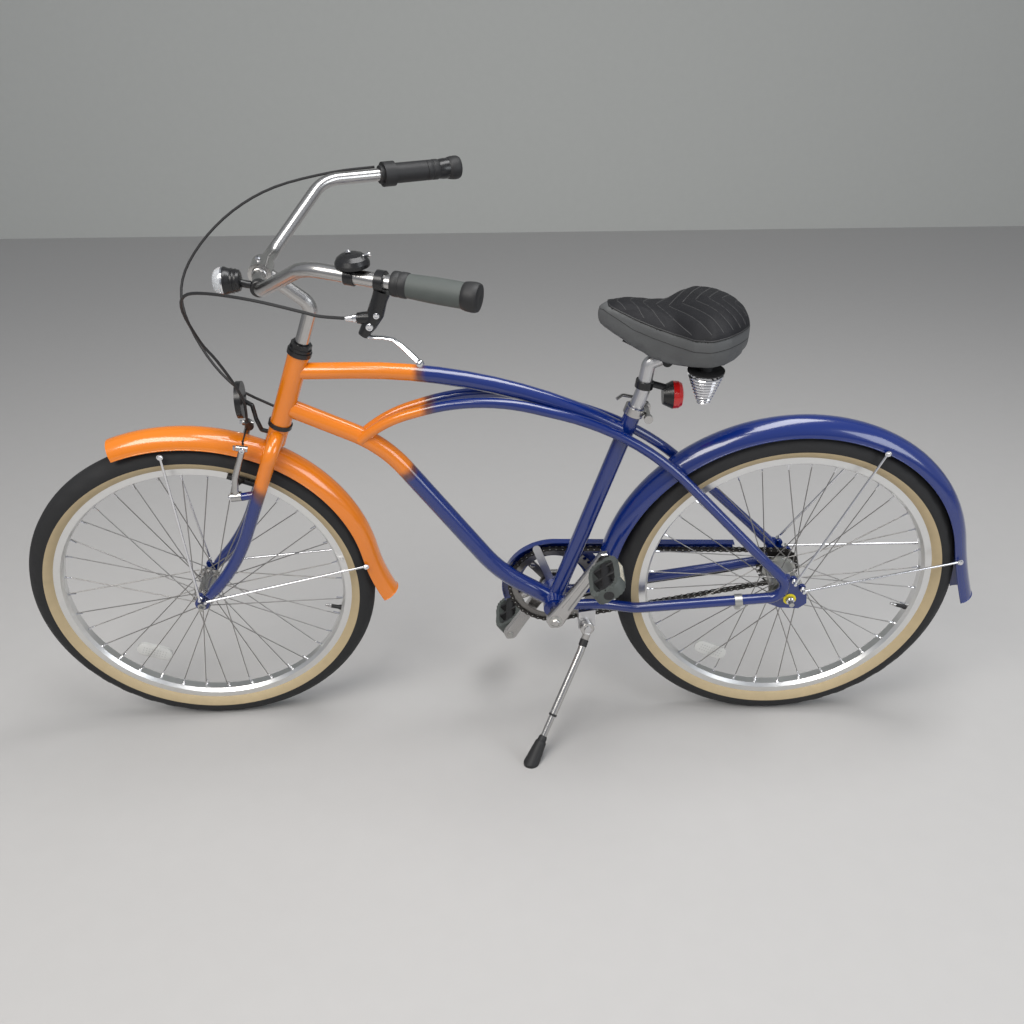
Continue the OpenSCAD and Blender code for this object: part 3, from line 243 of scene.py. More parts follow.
class Piece:
    """Collects shapes into one mesh; points are given in world metres."""

    def __init__(self, name, body, mat):
        self.name, self.body, self.mats, self.now = name, body, [mat], 0
        self.verts, self.faces, self.which = [], [], []

    def use(self, mat):
        if mat not in self.mats:
            self.mats.append(mat)
        self.now = self.mats.index(mat)
        return self

    def face(self, ids):
        self.faces.append(ids)
        self.which.append(self.now)

    def rings(self, rings, loop=False, caps=True, pick=None):
        base, n, m = len(self.verts), len(rings[0]), len(rings)
        for ring in rings:
            self.verts += [Vector(p) for p in ring]
        for i in range(m if loop else m - 1):
            for j in range(n):
                if pick:
                    self.use(pick(i, j))
                a, b = base + i * n, base + (i + 1) % m * n
                self.face([a + j, a + (j + 1) % n, b + (j + 1) % n, b + j])
        if caps and not loop:
            self.face([base + j for j in reversed(range(n))])
            self.face([base + (m - 1) * n + j for j in range(n)])
        return self

    def tube(self, points, r, sides=10, loop=False):
        points = [Vector(p) for p in points]
        m, rings, side = len(points), [], None
        for i, p in enumerate(points):
            a = points[(i - 1) % m] if loop or i else p
            b = points[(i + 1) % m] if loop or i < m - 1 else p
            h = (b - a).normalized()
            side = h.orthogonal().normalized() if side is None else (side - h * side.dot(h)).normalized()
            other, radius = h.cross(side), r[i] if isinstance(r, (list, tuple)) else r
            rings.append([p + radius * (math.cos(math.tau * j / sides) * side + math.sin(math.tau * j / sides) * other)
                          for j in range(sides)])
        return self.rings(rings, loop=loop)

    def turn(self, at, axis, profile, sides=40):
        """A turned shape: profile lists (distance along the axis, radius)."""
        x, y, z = frame_of(axis)
        return self.rings([[Vector(at) + z * d + max(r, 1e-5) * (math.cos(math.tau * j / sides) * x
                            + math.sin(math.tau * j / sides) * y) for j in range(sides)] for d, r in profile])

    def hexagon(self, at, axis, across, h):
        x, y, z = frame_of(axis)
        r = across / 2 / math.cos(math.pi / 6)
        ring = [math.cos(math.tau * j / 6) * x + math.sin(math.tau * j / 6) * y for j in range(6)]
        return self.rings([[Vector(at) + z * d + v * s for v in ring]
                           for d, s in ((0, r), (h * 0.8, r), (h, r * 0.86))])

    def bolt(self, at, axis, r, h):
        """Domed head with a round recess."""
        self.turn(at, axis, [(0, r), (h * 0.5, r), (h * 0.85, r * 0.86), (h, r * 0.6), (h, r * 0.5), (h * 0.5, r * 0.5)], 18)
        return self

    def block(self, place, size, round_by=0.15):
        """A box with eased corners, about the origin of place."""
        x, y, z = (s / 2 for s in size)
        e = round_by * min(x, y, z)
        def ring(u, v, w):
            return [place @ Vector(p) for p in ((u - e, -v, w), (u, -v + e, w), (u, v - e, w), (u - e, v, w),
                                                (-u + e, v, w), (-u, v - e, w), (-u, -v + e, w), (-u + e, -v, w))]
        return self.rings([ring(x - e, y - e, -z), ring(x, y, -z + e), ring(x, y, z - e), ring(x - e, y - e, z)])

    def done(self, *nodes_replaced, angle=35):
        mesh = bpy.data.meshes.new(self.name)
        mesh.from_pydata([tuple(v) for v in self.verts], [], self.faces)
        for mat in self.mats:
            mesh.materials.append(mat)
        mesh.polygons.foreach_set("material_index", self.which)
        bm = bmesh.new()
        bm.from_mesh(mesh)
        bmesh.ops.recalc_face_normals(bm, faces=bm.faces)
        bm.to_mesh(mesh)
        bm.free()
        mesh.shade_smooth()
        mesh.set_sharp_from_angle(angle=math.radians(angle))
        obj = bpy.data.objects.new(self.name, mesh)
        bpy.context.collection.objects.link(obj)
        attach(obj, self.body)
        if nodes_replaced:
            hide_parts(*nodes_replaced)
        return obj


# ---------------------------------------------------------------- tyres, nipples and valves
def wheel(place, side_name, body, phase, flange_r, gap, reflector):
    y_axis = (place.to_3x3() @ Vector((0, 1, 0))).normalized()

    def at(angle, y, r):
        a = math.radians(angle)
        return place @ Vector((r * math.cos(a), y, r * math.sin(a)))

    tyre = Piece(side_name + "_tyre_casing", body, tan_wall)
    steps = [(-150 + 10 * k) for k in range(31)]
    around = 252
    rings = []
    for i in range(around):
        ring = []
        for k, a in enumerate(steps):
            s = 26.0
            if abs(a) <= 60:
                s -= 1.1 if (k % 2 and abs(a) < 45) or (abs(a) >= 40 and (i // 3) % 2) else 0
            if abs(a) > 104:
                s -= 0.5
            t = math.radians(a)
            ring.append(at(360 * i / around, s * math.sin(t) / 1000, (305 + s * math.cos(t)) / 1000))
        rings.append(ring)
    tyre.rings(rings, loop=True, pick=lambda i, j: tread_black if 5 <= j <= 24 else tan_wall)
    tyre.done(side_name + "_tyre", angle=50)

    small = Piece(side_name + "_nipples_and_valve", body, chrome)
    for i in range(36):
        a, side, lead = 10 * i + 5, 1 if i % 2 == 0 else -1, 1 if i // 2 % 2 == 0 else -1
        hub_y = side * (gap / 2 + lead * 2.75 + (0.8 if lead > 0 else 0))
        rim = at(a + phase, side * 0.0025, 0.2667)
        hub = at(a + 60 * lead + phase, hub_y / 1000, (flange_r - 3) / 1000)
        to_hub = (hub - rim).normalized()
        small.turn(rim, to_hub, [(0, 0.003), (0.002, 0.003), (0.0025, 0.0019), (0.012, 0.0017), (0.013, 0.0012)], 8)
        # Bent head of the spoke on the far side of the flange
        out = y_axis * (side * lead)
        small.turn(hub + out * 0.0002, out, [(0, 0.0018), (0.0006, 0.0018), (0.0012, 0.001)], 8)
    inward = -(at(196, 0, 1) - at(196, 0, 0)).normalized()
    small.use(black_matte).turn(at(196, 0, 0.2668), inward, [(0, 0.0055), (0.003, 0.005), (0.006, 0.004), (0.02, 0.0038)], 14)
    small.use(polished).turn(at(196, 0, 0.2468), inward, [(0, 0.0033), (0.006, 0.0033), (0.007, 0.0022), (0.012, 0.0022)], 14)
    small.done()

    # Spoke reflector: a rounded clear plate with moulded prisms, set across the spokes
    out = (at(reflector[0], 0, 1) - at(reflector[0], 0, 0)).normalized()
    x = Matrix.Rotation(math.radians(reflector[3]), 3, y_axis) @ out
    z = x.cross(y_axis)
    middle, half = at(reflector[0], 0, reflector[1]), reflector[2]

    def plate(grow, n=48):
        ring = []
        for k in range(n):
            a = math.tau * k / n
            c, d = math.cos(a), math.sin(a)
            ring.append(x * (0.020 * (1 if c > 0 else -1) + (0.0155 + grow) * c) + z * (0.0155 + grow) * d)
        return ring

    disc = Piece(side_name + "_spoke_reflector", body, clear_plastic)
    disc.rings([[middle + v + y_axis * y for v in plate(g)] for y, g in
                ((-half, -0.003), (-half * 0.8, -0.0005), (half * 0.8, -0.0005), (half, -0.003))])
    disc.use(reflector_white)
    for row in (-1, 0, 1):
        for k in range(-4, 5):
            at_cell = Matrix((x, y_axis, z)).transposed().to_4x4()
            at_cell.translation = middle + x * 0.0055 * k + z * 0.0062 * row
            disc.block(at_cell, (0.0044, half * 2.06, 0.005), 0.5)
    disc.done(side_name + "_wheel_reflector")


tan_wall = material("tan_sidewall", (0.47, 0.37, 0.22), rough=0.62, grain=0.1, grain_size=60, bump=0.15, bump_size=900)
tread_black = material("tread_black", (0.013, 0.013, 0.014), rough=0.72, grain=0.2, grain_size=120, bump=0.3, bump_size=700)
washer_yellow = material("washer_yellow", (0.75, 0.62, 0.02), rough=0.4, grain=0.1)
reflector_white = material("reflector_white", (0.5, 0.5, 0.49), rough=0.2, coat=0.6, grain=0.06, bump=0.4,
                            bump_size=500)
reflector_amber = material("reflector_pale", (0.72, 0.66, 0.5), rough=0.18, coat=0.7, grain=0.08, bump=0.4, bump_size=500)
clear_plastic = material("clear_plastic", (0.62, 0.62, 0.6), rough=0.2, coat=0.5, grain=0.03)
wheel(FRONT, "front", "front_wheel", 5, 21, 68, (-50, 0.207, 0.0048, -73))
wheel(REAR, "rear", "rear_wheel", 0, 33, 60, (-55, 0.219, 0.0032, -80))

# ---------------------------------------------------------------- saddle springs, coil by coil
coils = Piece("saddle_spring_coils", "frame", chrome)
for s in (1, -1):
    line = []
    for k in range(9 * 22 + 1):
        t = k / (9 * 22)
        a = s * math.tau * 9 * t
        r = 9 + 20 * t
        line.append(in_frame(205 + r * math.cos(a), s * 75 + r * math.sin(a), 761.4 + 53.6 * t))
    coils.tube(line, 0.0023, 8)
coils.done("saddle_springs")

# ---------------------------------------------------------------- roller chain, link by link
PITCH = 12.7
ring_r, cog_r = PITCH / 2 / math.sin(math.pi / 44), PITCH / 2 / math.sin(math.pi / 19)
gap = math.hypot(450, 290 - 331)
slope = math.degrees(math.atan2(290 - 331, 450))
wrap = math.degrees(math.acos((ring_r - cog_r) / gap))
free = gap * math.sin(math.radians(wrap))
ring_arc, cog_arc = ring_r * math.radians(2 * (180 - wrap)), cog_r * math.radians(2 * wrap)
total = ring_arc + cog_arc + 2 * free
links = round(total / PITCH / 2) * 2


def on_chain(q):
    """Place at a distance along the loop, in the x-z plane of the frame."""
    q %= total
    if q < ring_arc:
        a, c, r, more = slope - (180 - wrap) + math.degrees(q / ring_r), (450, 290), ring_r, 0
    elif q < ring_arc + free:
        a, c, r, more = slope + 180 - wrap, (450, 290), ring_r, q - ring_arc
    elif q < ring_arc + free + cog_arc:
        a, c, r, more = slope + 180 - wrap + math.degrees((q - ring_arc - free) / cog_r), (0, 331), cog_r, 0
    else:
        a, c, r, more = slope - (180 - wrap), (0, 331), cog_r, q - ring_arc - free - cog_arc
    a = math.radians(a)
    return Vector((c[0] + r * math.cos(a) - more * math.sin(a), c[1] + r * math.sin(a) + more * math.cos(a)))


plates = Piece("roller_chain", "frame", dark_steel)
pins = [on_chain(i * total / links) for i in range(links)]
for i in range(links):
    p, q = pins[i], pins[(i + 1) % links]
    u = (q - p).normalized()
    v = Vector((-u[1], u[0]))
    outline = []
    for k in range(7):
        t = math.radians(-120 + 40 * k)
        outline.append(q + 4.1 * (math.cos(t) * u + math.sin(t) * v))
    outline.append((p + q) / 2 + 2.7 * v)
    for k in range(7):
        t = math.radians(60 + 40 * k)
        outline.append(p + 4.1 * (math.cos(t) * u + math.sin(t) * v))
    outline.append((p + q) / 2 - 2.7 * v)
    y0, y1 = (2.5, 3.3) if i % 2 else (3.35, 4.15)
    for s in (-1, 1):
        plates.rings([[in_frame(o[0], -45 + s * y, o[1]) for o in outline] for y in (y0, y1)])
y_frame = (PARK.to_3x3() @ Vector((0, 1, 0))).normalized()
plates.use(zinc)
for p in pins:
    plates.turn(in_frame(p[0], -45 - 2.5, p[1]), y_frame, [(0, 0.0037), (0.005, 0.0037)], 10)
    plates.turn(in_frame(p[0], -45 - 4.2, p[1]), y_frame, [(0, 0.0012), (0.0003, 0.0018), (0.0081, 0.0018), (0.0084, 0.0012)], 8)
plates.done("chain")

# ---------------------------------------------------------------- grips, turned with ribs
bar_ends = (in_steering(597.6, 310.6, 1043.3), in_steering(597.6, -310.6, 1043.3))
bar_bends = (in_steering(841.1, 209.3, 1058.2), in_steering(841.1, -209.3, 1058.2))
grips = Piece("ribbed_grips", "steering", rubber_grey)
for s in (0, 1):
    back = (bar_bends[s] - bar_ends[s]).normalized()
    start = bar_ends[s] + back * (0.004 if s else 0.0)
    full = 0.128 if s == 0 else 0.066
    grips.use(black_matte).turn(start, back, [(full - 0.003, 0.0118), (full - 0.003, 0.0172), (full - 0.005, 0.018),
                                              (full - 0.012, 0.0181), (full - 0.013, 0.0174), (full - 0.015, 0.0174),
                                              (full - 0.016, 0.0183), (full - 0.025, 0.0183), (full - 0.027, 0.0168)])
    span = full - 0.047
    waist = [(full - 0.027 - span * k / 16, 0.0170 + 0.0014 * k / 16 + 0.0008 * math.sin(math.pi * k / 16)) for k in range(17)]
    grips.use(rubber_grey if s == 0 else black_gloss).turn(start, back, waist)
    grips.use(black_matte).turn(start, back, [(0.02, 0.0183), (0.019, 0.0194), (0.013, 0.0207), (0.005, 0.0213), (0.0, 0.0208),
                                              (-0.003, 0.0194), (-0.0042, 0.015), (-0.0038, 0.006), (-0.003, 0.0)])
grips.done("grips", angle=40)

# ---------------------------------------------------------------- bolts, nuts and small fittings
def small_parts(body, name):
    return Piece(name, body, chrome)


y_steer = (STEER.to_3x3() @ Vector((0, 1, 0))).normalized()
fit = small_parts("steering", "steering_bolts")
stem_up = (STEER.to_3x3() @ Vector((0, 0, 1))).normalized()
fit.bolt(in_steering(936.7, 0, 978) + (in_steering(938.7, 0, 996) - in_steering(936.7, 0, 978)).normalized() * 0.019,
         in_steering(938.7, 0, 996) - in_steering(936.7, 0, 978), 0.005, 0.004)
fit.use(chrome)
for s in (1, -1):
    boss = in_steering(1045, s * 48, 570)
    ahead = (in_steering(1055, s * 48, 570) - in_steering(1045, s * 48, 570)).normalized()
    fit.bolt(boss, ahead, 0.0062, 0.005)
    tip = in_steering(1010, s * 51.8, 669)
    fit.bolt(tip, y_steer * s, 0.0055, 0.004)
    fit.hexagon(in_steering(1022, s * 46, 671.2), in_steering(1032, s * 46, 673) - in_steering(1022, s * 46, 671.2), 0.008, 0.004)
    for x, z, out in ((1159, 653, 35.2), (819, 383, 35.2)):
        spot = in_steering(x, s * out, z)
        fit.hexagon(spot, y_steer * s, 0.008, 0.0035)
        fit.turn(spot - y_steer * s * 0.001, y_steer * s, [(0, 0.0058), (0.001, 0.0058), (0.0013, 0.005)], 16)
    fit.hexagon(in_steering(1138.5, s * 59.3, 350), y_steer * s, 0.008, 0.003)
fit.done()

fit = small_parts("frame", "frame_bolts")
for s in (1, -1):
    for x, z in ((-144, 632), (-326, 391)):
        fit.hexagon(in_frame(x, s * 35.2, z), y_frame * s, 0.008, 0.0035)
        fit.turn(in_frame(x, s * 34.4, z), y_frame * s, [(0, 0.0058), (0.001, 0.0058), (0.0013, 0.005)], 16)
    for x, z in ((-2, 376), (-21, 357)):
        fit.bolt(in_frame(x, s * 69.2, z), y_frame * s, 0.0055, 0.0035)
fit.done()

# Crank bolts under dust caps, chainring bolts
fit = small_parts("crank", "crank_bolts")
y_crank = (CRANK.to_3x3() @ Vector((0, 1, 0))).normalized()
for s in (1, -1):
    end = CRANK @ Vector((0, s * 0.0759, 0))
    fit.use(zinc).turn(end, y_crank * s, [(0, 0.0125), (0.0008, 0.0125), (0.0012, 0.0118), (0.0012, 0.0)], 32)
    fit.use(polished).hexagon(end + y_crank * s * 0.0012, y_crank * s, 0.014, 0.0045)
    fit.turn(end + y_crank * s * 0.0057, y_crank * s, [(0, 0.006), (0.0006, 0.0052), (0.0006, 0.0)], 24)
fit.use(polished)
for k in range(5):
    a = math.radians(72 * k)
    for s in (1, -1):
        fit.bolt(CRANK @ Vector((0.065 * math.cos(a), -0.045 + s * 0.0013, 0.065 * math.sin(a))), y_crank * s, 0.0055, 0.0016)
fit.done()

# Axle washers and chrome caps
fit = small_parts("frame", "axle_washers")
wheel_axis = y_frame
for s in (1, -1):
    fit.use(washer_yellow if s > 0 else zinc).turn(in_frame(0, s * 65.05, 331), wheel_axis * s,
                                                   [(-0.0002, 0.0105), (0.0, 0.0122), (0.0012, 0.0122), (0.0014, 0.0105)], 32)
    fit.use(chrome).turn(in_frame(0, s * 73.3, 331), wheel_axis * s, [(0, 0.0078), (0.0012, 0.0066), (0.0014, 0.0051)], 24)
fit.done()

# Bell: striker and thumb lever; lamp rims
fit = small_parts("steering", "bell_and_lamp_trim")
top = in_steering(773, 237.6, 1089)
fit.use(chrome).turn(top - Vector((0, 0, 0.0005)), (0, 0, 1), [(0, 0.004), (0.002, 0.004), (0.0035, 0.002)], 16)
fit.turn(top - Vector((0.016, 0, 0.007)), (-1, 0, 0.3), [(0, 0.0022), (0.01, 0.0022), (0.012, 0.0034), (0.016, 0.0034)], 14)
fit.done()

lamp = in_steering(958, 70, 989)
ahead = (in_steering(1058, 70, 989) - lamp).normalized()
housing = Piece("head_lamp_housing", "steering", black_gloss)
housing.turn(lamp, ahead, [(0.0, 0.012), (0.002, 0.0165), (0.006, 0.0175), (0.0065, 0.0185), (0.009, 0.0185), (0.0095, 0.018),
                           (0.012, 0.0185), (0.0125, 0.0198), (0.015, 0.0198), (0.0155, 0.0192), (0.021, 0.0208),
                           (0.024, 0.0225), (0.0265, 0.0225)], 48)
arm = [in_steering(*p) for p in ((944, 70, 981), (950, 70, 982), (957, 70, 984), (963, 70, 986))]
housing.tube(arm, 0.0062, 14)
housing.turn(in_steering(932, 76.5, 975), in_steering(933, 63.5, 975.4) - in_steering(932, 76.5, 975),
             [(0, 0.0125), (0.001, 0.0138), (0.012, 0.0138), (0.013, 0.0125)], 32)
housing.use(chrome).turn(lamp + ahead * 0.0268, ahead, [(0.0, 0.0222), (0.0025, 0.0224), (0.003, 0.0215), (0.002, 0.019),
                                                       (-0.003, 0.014), (-0.006, 0.006), (-0.006, 0.003), (0.004, 0.003), (0.005, 0.0)], 48)
housing.done("head_lamp_body")
glass = Piece("head_lamp_glass", "steering", clear_lens)
glass.turn(lamp + ahead * 0.029, ahead, [(0, 0.0218), (0.003, 0.0217), (0.009, 0.0195), (0.013, 0.015), (0.0155, 0.009), (0.0163, 0.0)], 48)
glass.done("head_lamp_lens")


# ---------------------------------------------------------------- bent tubes, drawn finely over the CAD ones
def bent_line(points, bends, radii, step=3.0):
    """Centre line with rounded corners: a list of (place, heading, radius)."""
    pts, out = [Vector(p) for p in points], []
    radii = radii if isinstance(radii, (list, tuple)) else [radii] * len(pts)
    for i, p in enumerate(pts):
        d_in = (pts[1] - pts[0]).normalized() if i == 0 else (p - pts[i - 1]).normalized()
        d_out = d_in if i == len(pts) - 1 else (pts[i + 1] - p).normalized()
        turn = d_in.angle(d_out) if i else 0.0
        if turn < 0.0002:
            out.append((p, d_in, radii[i]))
            continue
        axis = d_in.cross(d_out).normalized()
        side = d_in.cross(axis)
        centre = p - bends[i] * math.tan(turn / 2) * d_in - bends[i] * side
        n = max(4, math.ceil(math.degrees(turn) / step))
        for k in range(n + 1):
            a = turn * k / n
            out.append((centre + bends[i] * (math.cos(a) * side + math.sin(a) * d_in),
                        math.cos(a) * d_in - math.sin(a) * side, radii[i]))
    return out


def skin(piece, points, bends, radii, put, sides=28):
    line, side, rings = bent_line(points, bends, radii), None, []
    for p, h, r in line:
        side = h.orthogonal().normalized() if side is None else (side - h * side.dot(h)).normalized()
        other = h.cross(side)
        rings.append([put(*(p + r * (math.cos(math.tau * j / sides) * side + math.sin(math.tau * j / sides) * other)))
                      for j in range(sides)])
    return piece.rings(rings)


def in_steered(x, y, z):
    """Place in the steering frame's own axes, in mm."""
    return STEER @ Vector((x / 1000, y / 1000, z / 1000))


def turned(x, y, z):
    return (TILT.inverted() @ (Vector((x / 1000, y / 1000, z / 1000)) - HEAD)) * 1000


skin(Piece("top_tube_skin", "frame", frame_fade), [(901, 0, 792.5), (553, 0, 792.5), (325, 0, 665)], [0, 960, 0], 15,
     in_frame).done("top_tube")
skin(Piece("down_tube_skin", "frame", down_fade), [(922, 0, 720.6), (763.4, 0, 645.1), (558.4, 0, 357.8), (462, 0, 295.2)],
     [0, 233, 263, 0], 17, in_frame).done("down_tube")
rails = Piece("side_rail_skins", "frame", rail_fade)
for s in (1, -1):
    skin(rails, [(804, s * 10.2, 659), (759.7, s * 13, 698.6), (587, s * 21, 751.2), (305, s * 28, 676.3),
                 (60.4, s * 60.6, 421.8)], [0, 240, 356, 504, 0], 9.5, in_frame)
rails.done("side_rails")

stays = Piece("chain_stay_skins", "frame", blue_paint)
for s in (1, -1):
    skin(stays, [(60.6, s * 60.7, 422), (-20, s * 64.5, 338.5), (292, s * 46, 298.5), (352, s * 27, 294.5),
                 (436, s * 24.4, 291.4)], [0, 30, 80, 80, 0], [9.5, 10.5, 10.5, 10.5, 10.5], in_frame)
    plate = [(-27, 350), (-6, 371), (6, 386), (30, 392), (24, 372), (18, 356), (24, 342), (44, 331), (44, 322), (16, 310),
             (-20, 308), (-34, 320), (-32, 340)]
    stays.rings([[in_frame(x, s * y, z) for x, z in plate] for y in (60, 65)])
    for x, z in ((-2, 376), (-21, 357)):
        stays.turn(in_frame(x, s * 60, z), (in_frame(x, s * 65, z) - in_frame(x, s * 60, z)),
                   [(0, 0.0065), (0.0005, 0.007), (0.0045, 0.007), (0.005, 0.0065)], 24)
stays.done("chain_stays")

hub = turned(1138.5, 0, 331)
legs = Piece("fork_leg_skins", "steering", fork_fade)
for s in (1, -1):
    skin(legs, [(0, s * 9, -24), (4, s * 48, -33), (10, s * 49, -297), (hub[0] - 10, s * 52.5, hub[2] + 22)],
         [0, 34, 400, 0], [13.5, 13.5, 11.5, 9], in_steered)
    legs.turn(in_steered(hub[0], s * 50, hub[2]), y_steer * s, [(0, 0.0138), (0.0004, 0.014), (0.0046, 0.014), (0.005, 0.0138)], 36)
    up_leg = [(hub[0] + x * math.cos(math.radians(24)) - z * math.sin(math.radians(24)),
               hub[2] + x * math.sin(math.radians(24)) + z * math.cos(math.radians(24))) for x, z in ((-7, 0), (7, 0), (7, 40), (-7, 40))]
    legs.rings([[in_steered(x, s * y, z) for x, z in up_leg] for y in (50, 55)])
    for x, z in ((1138.5, 350), (1128.5, 344)):
        q = turned(x, 0, z)
        legs.turn(in_steered(q[0], s * 50, q[2]), y_steer * s, [(0, 0.0057), (0.0004, 0.006), (0.0046, 0.006), (0.005, 0.0057)], 24)
    boss = [turned(992, s * 48, 574), turned(1026, s * 48, 569)]
    legs.turn(in_steered(*boss[0]), in_steered(*boss[1]) - in_steered(*boss[0]), [(0, 0.0075), (0.0345, 0.0075)], 28)
legs.done("fork_legs")

bar = Piece("handlebar_skin", "steering", polished)
half = [(936.7, 0, 978), (936.7, 32, 978), (929.7, 81.6, 974.3), (841.1, 209.3, 1058.2), (597.6, 310.6, 1043.3)]
for s in (1, -1):
    line = [tuple(turned(x, s * y, z)) for x, y, z in half]
    if s < 0:
        back = (Vector(line[3]) - Vector(line[4])).normalized() * 4
        line[4] = tuple(Vector(line[4]) + back)
    skin(bar, line, [0, 60, 45, 70, 0], 11.1, in_steered)
centre = turned(936.7, 0, 978)
bar.turn(in_steered(centre[0], -28, centre[2]), y_steer, [(0, 0.0115), (0.001, 0.0127), (0.055, 0.0127), (0.056, 0.0115)], 36)
bar.done("handlebar")


# Side stand: cast knuckle, black collar, outer tube and a thinner inner one
leg = Piece("stand_leg_tubes", "stand", polished)
pivot, knee, sole = Vector((386.7, 45, 249.6)), Vector((400, 68, 205)), Vector((500, 195.6, 27.5))
spin = (PARK.to_3x3() @ Vector((-0.213, 0.968, 0.13))).normalized()
px, py, pz = frame_of(spin)
leg.rings([[in_frame(*pivot) + spin * d / 1000 + r / 1000 * (math.cos(math.tau * j / 48) * px + math.sin(math.tau * j / 48) * py)
            for j in range(48)] for d, r in ((-5.9, 5.2), (-5.9, 12.6), (-4.9, 13.9), (6.6, 13.9), (7.6, 12.6), (7.6, 5.2))],
          loop=True)
split = along(knee, sole, 0.56)
skin(leg, [pivot + Vector((-0.7, 4.7, -9.6)), pivot + Vector((3.3, 6.7, -22.6)), knee, split], [0, 12, 60, 0], 7.6, in_frame)
skin(leg, [along(knee, sole, 0.5), along(knee, sole, 0.9)], [0, 0], 6.2, in_frame)
drop = (in_frame(*sole) - in_frame(*knee)).normalized()
upper = pivot + Vector((3.3, 6.7, -22.6))
leg.use(black_matte).turn(in_frame(*along(upper, knee, 0.06)), in_frame(*knee) - in_frame(*upper),
                          [(0, 0.0077), (0.0006, 0.0085), (0.0135, 0.0085), (0.0141, 0.0077)], 28)
leg.turn(in_frame(*along(knee, sole, 0.55)), drop, [(0, 0.0077), (0.0004, 0.0082), (0.0044, 0.0082), (0.0048, 0.0062)], 28)
leg.turn(in_frame(*along(knee, sole, 0.745)), drop, [(0, 0.0063), (0.004, 0.0085), (0.012, 0.0086), (0.02, 0.0086)], 28)
leg.done("stand_leg")


# ---------------------------------------------------------------- fenders, with rolled edges
def arc_chain(points, h, step=2.5):
    """Places and outward headings along tangent arcs through points of a plane."""
    out = []
    for i in range(len(points) - 1):
        p, q = Vector(points[i]), Vector(points[i + 1])
        n = Vector((-h[1], h[0]))
        r = (q - p).dot(q - p) / (2 * (q - p).dot(n))
        a = 2 * math.atan2((q - p).dot(n), (q - p).dot(h))
        c, steps = p + r * n, max(6, math.ceil(abs(math.degrees(a)) / step))
        for k in range(steps + (1 if i == len(points) - 2 else 0)):
            t = a * k / steps
            g = Vector((h[0] * math.cos(t) - h[1] * math.sin(t), h[0] * math.sin(t) + h[1] * math.cos(t)))
            out.append((c + r * Vector((g[1], -g[0])), Vector((g[1], -g[0]))))
        h = Vector((h[0] * math.cos(a) - h[1] * math.sin(a), h[0] * math.sin(a) + h[1] * math.cos(a)))
    return out


def fender(name, body, mat, place, crown, start, node):
    points = [(r * math.cos(math.radians(a)), r * math.sin(math.radians(a))) for a, r in crown]
    line = arc_chain(points, Vector((math.cos(math.radians(start)), math.sin(math.radians(start)))))
    n, w, rings, edges = 22, 30.0, [], ([], [])
    for c, out in line:
        ring = []
        for inner in (False, True):
            for j in (range(n, -1, -1) if inner else range(n + 1)):
                a, v = math.pi * j / n, w - 1.5
                d, y = (w - v * math.sin(a), -v * math.cos(a)) if inner else (w * (1 - math.sin(a)), -w * math.cos(a))
                ring.append(place @ Vector(((c[0] - out[0] * d) / 1000, y / 1000, (c[1] - out[1] * d) / 1000)))
        rings.append(ring)
        for k, s in enumerate((1, -1)):
            edges[k].append(place @ Vector(((c[0] - out[0] * 29) / 1000, s * 0.0291, (c[1] - out[1] * 29) / 1000)))
    piece = Piece(name, body, mat).rings(rings, caps=False)
    total_points = 2 * (n + 1)
    for base in (0, (len(line) - 1) * total_points):
        for j in range(n):
            piece.face([base + j, base + j + 1, base + total_points - 2 - j, base + total_points - 1 - j])
    for edge in edges:
        piece.tube(edge, 0.0014, 8)
    tip = [rings[-1][j] * 0.97 + rings[-1][total_points - 1 - j] * 0.03 for j in range(1, n)]
    piece.tube(tip, 0.0011, 8)
    return piece.done(node, angle=50)


fender("rear_fender_skin", "frame", blue_paint, REAR, [(12, 369), (120, 361), (164, 354), (185, 381)], 103, "rear_fender")
fender("front_fender_skin", "steering", orange_paint, FRONT, [(71, 362), (118, 361), (168, 352), (184, 376)], 161,
       "front_fender")


# ---------------------------------------------------------------- crank arms with a recess, and the pedals
arms = Piece("crank_arm_forgings", "crank", polished)
for s in (1, -1):
    rings = []
    for k in range(31):
        t = k / 30
        x = -17.6 + t * (170 + 17.6 + 13.6)
        if x < 0:
            w = math.sqrt(max(0.0, 18 ** 2 - x * x))
        elif x > 170:
            w = math.sqrt(max(0.0, 14 ** 2 - (x - 170) ** 2))
        else:
            u = x / 170
            w = 18 * (1 - u) + 14 * u - 3.2 * math.sin(math.pi * u) ** 0.8
        w = max(w, 1.2)
        dip = 2.6 * max(0.0, min(1.0, (x - 24) / 14)) * max(0.0, min(1.0, (150 - x) / 14))
        y0, y1 = 62.2, 75.8
        ring = [(w, y0 + 2), (w, y1 - 2.4), (w - 2.2, y1 - 0.3), (0.52 * w, y1), (0.38 * w, y1 - dip), (-0.38 * w, y1 - dip),
                (-0.52 * w, y1), (-w + 2.2, y1 - 0.3), (-w, y1 - 2.4), (-w, y0 + 2), (-w + 2, y0), (w - 2, y0)]
        ring = [(max(-w, min(w, a)), b) for a, b in ring]
        rings.append([CRANK @ Vector((s * x / 1000, s * y / 1000, z / 1000)) for z, y in ring])
    arms.rings(rings)
    arms.turn(CRANK @ Vector((0, s * 0.047, 0)), y_crank * s, [(0, 0.009), (0.016, 0.009)], 28)
    arms.use(black_matte).turn(CRANK @ Vector((s * 0.17, s * 0.0763, 0)), y_crank * s, [(0, 0.0075), (0.0116, 0.0075)], 20)
    arms.use(zinc).turn(CRANK @ Vector((s * 0.17, s * 0.0619, 0)), y_crank * -s, [(0, 0.0062), (0.0012, 0.0055), (0.0012, 0.003)], 20)
    arms.use(polished)
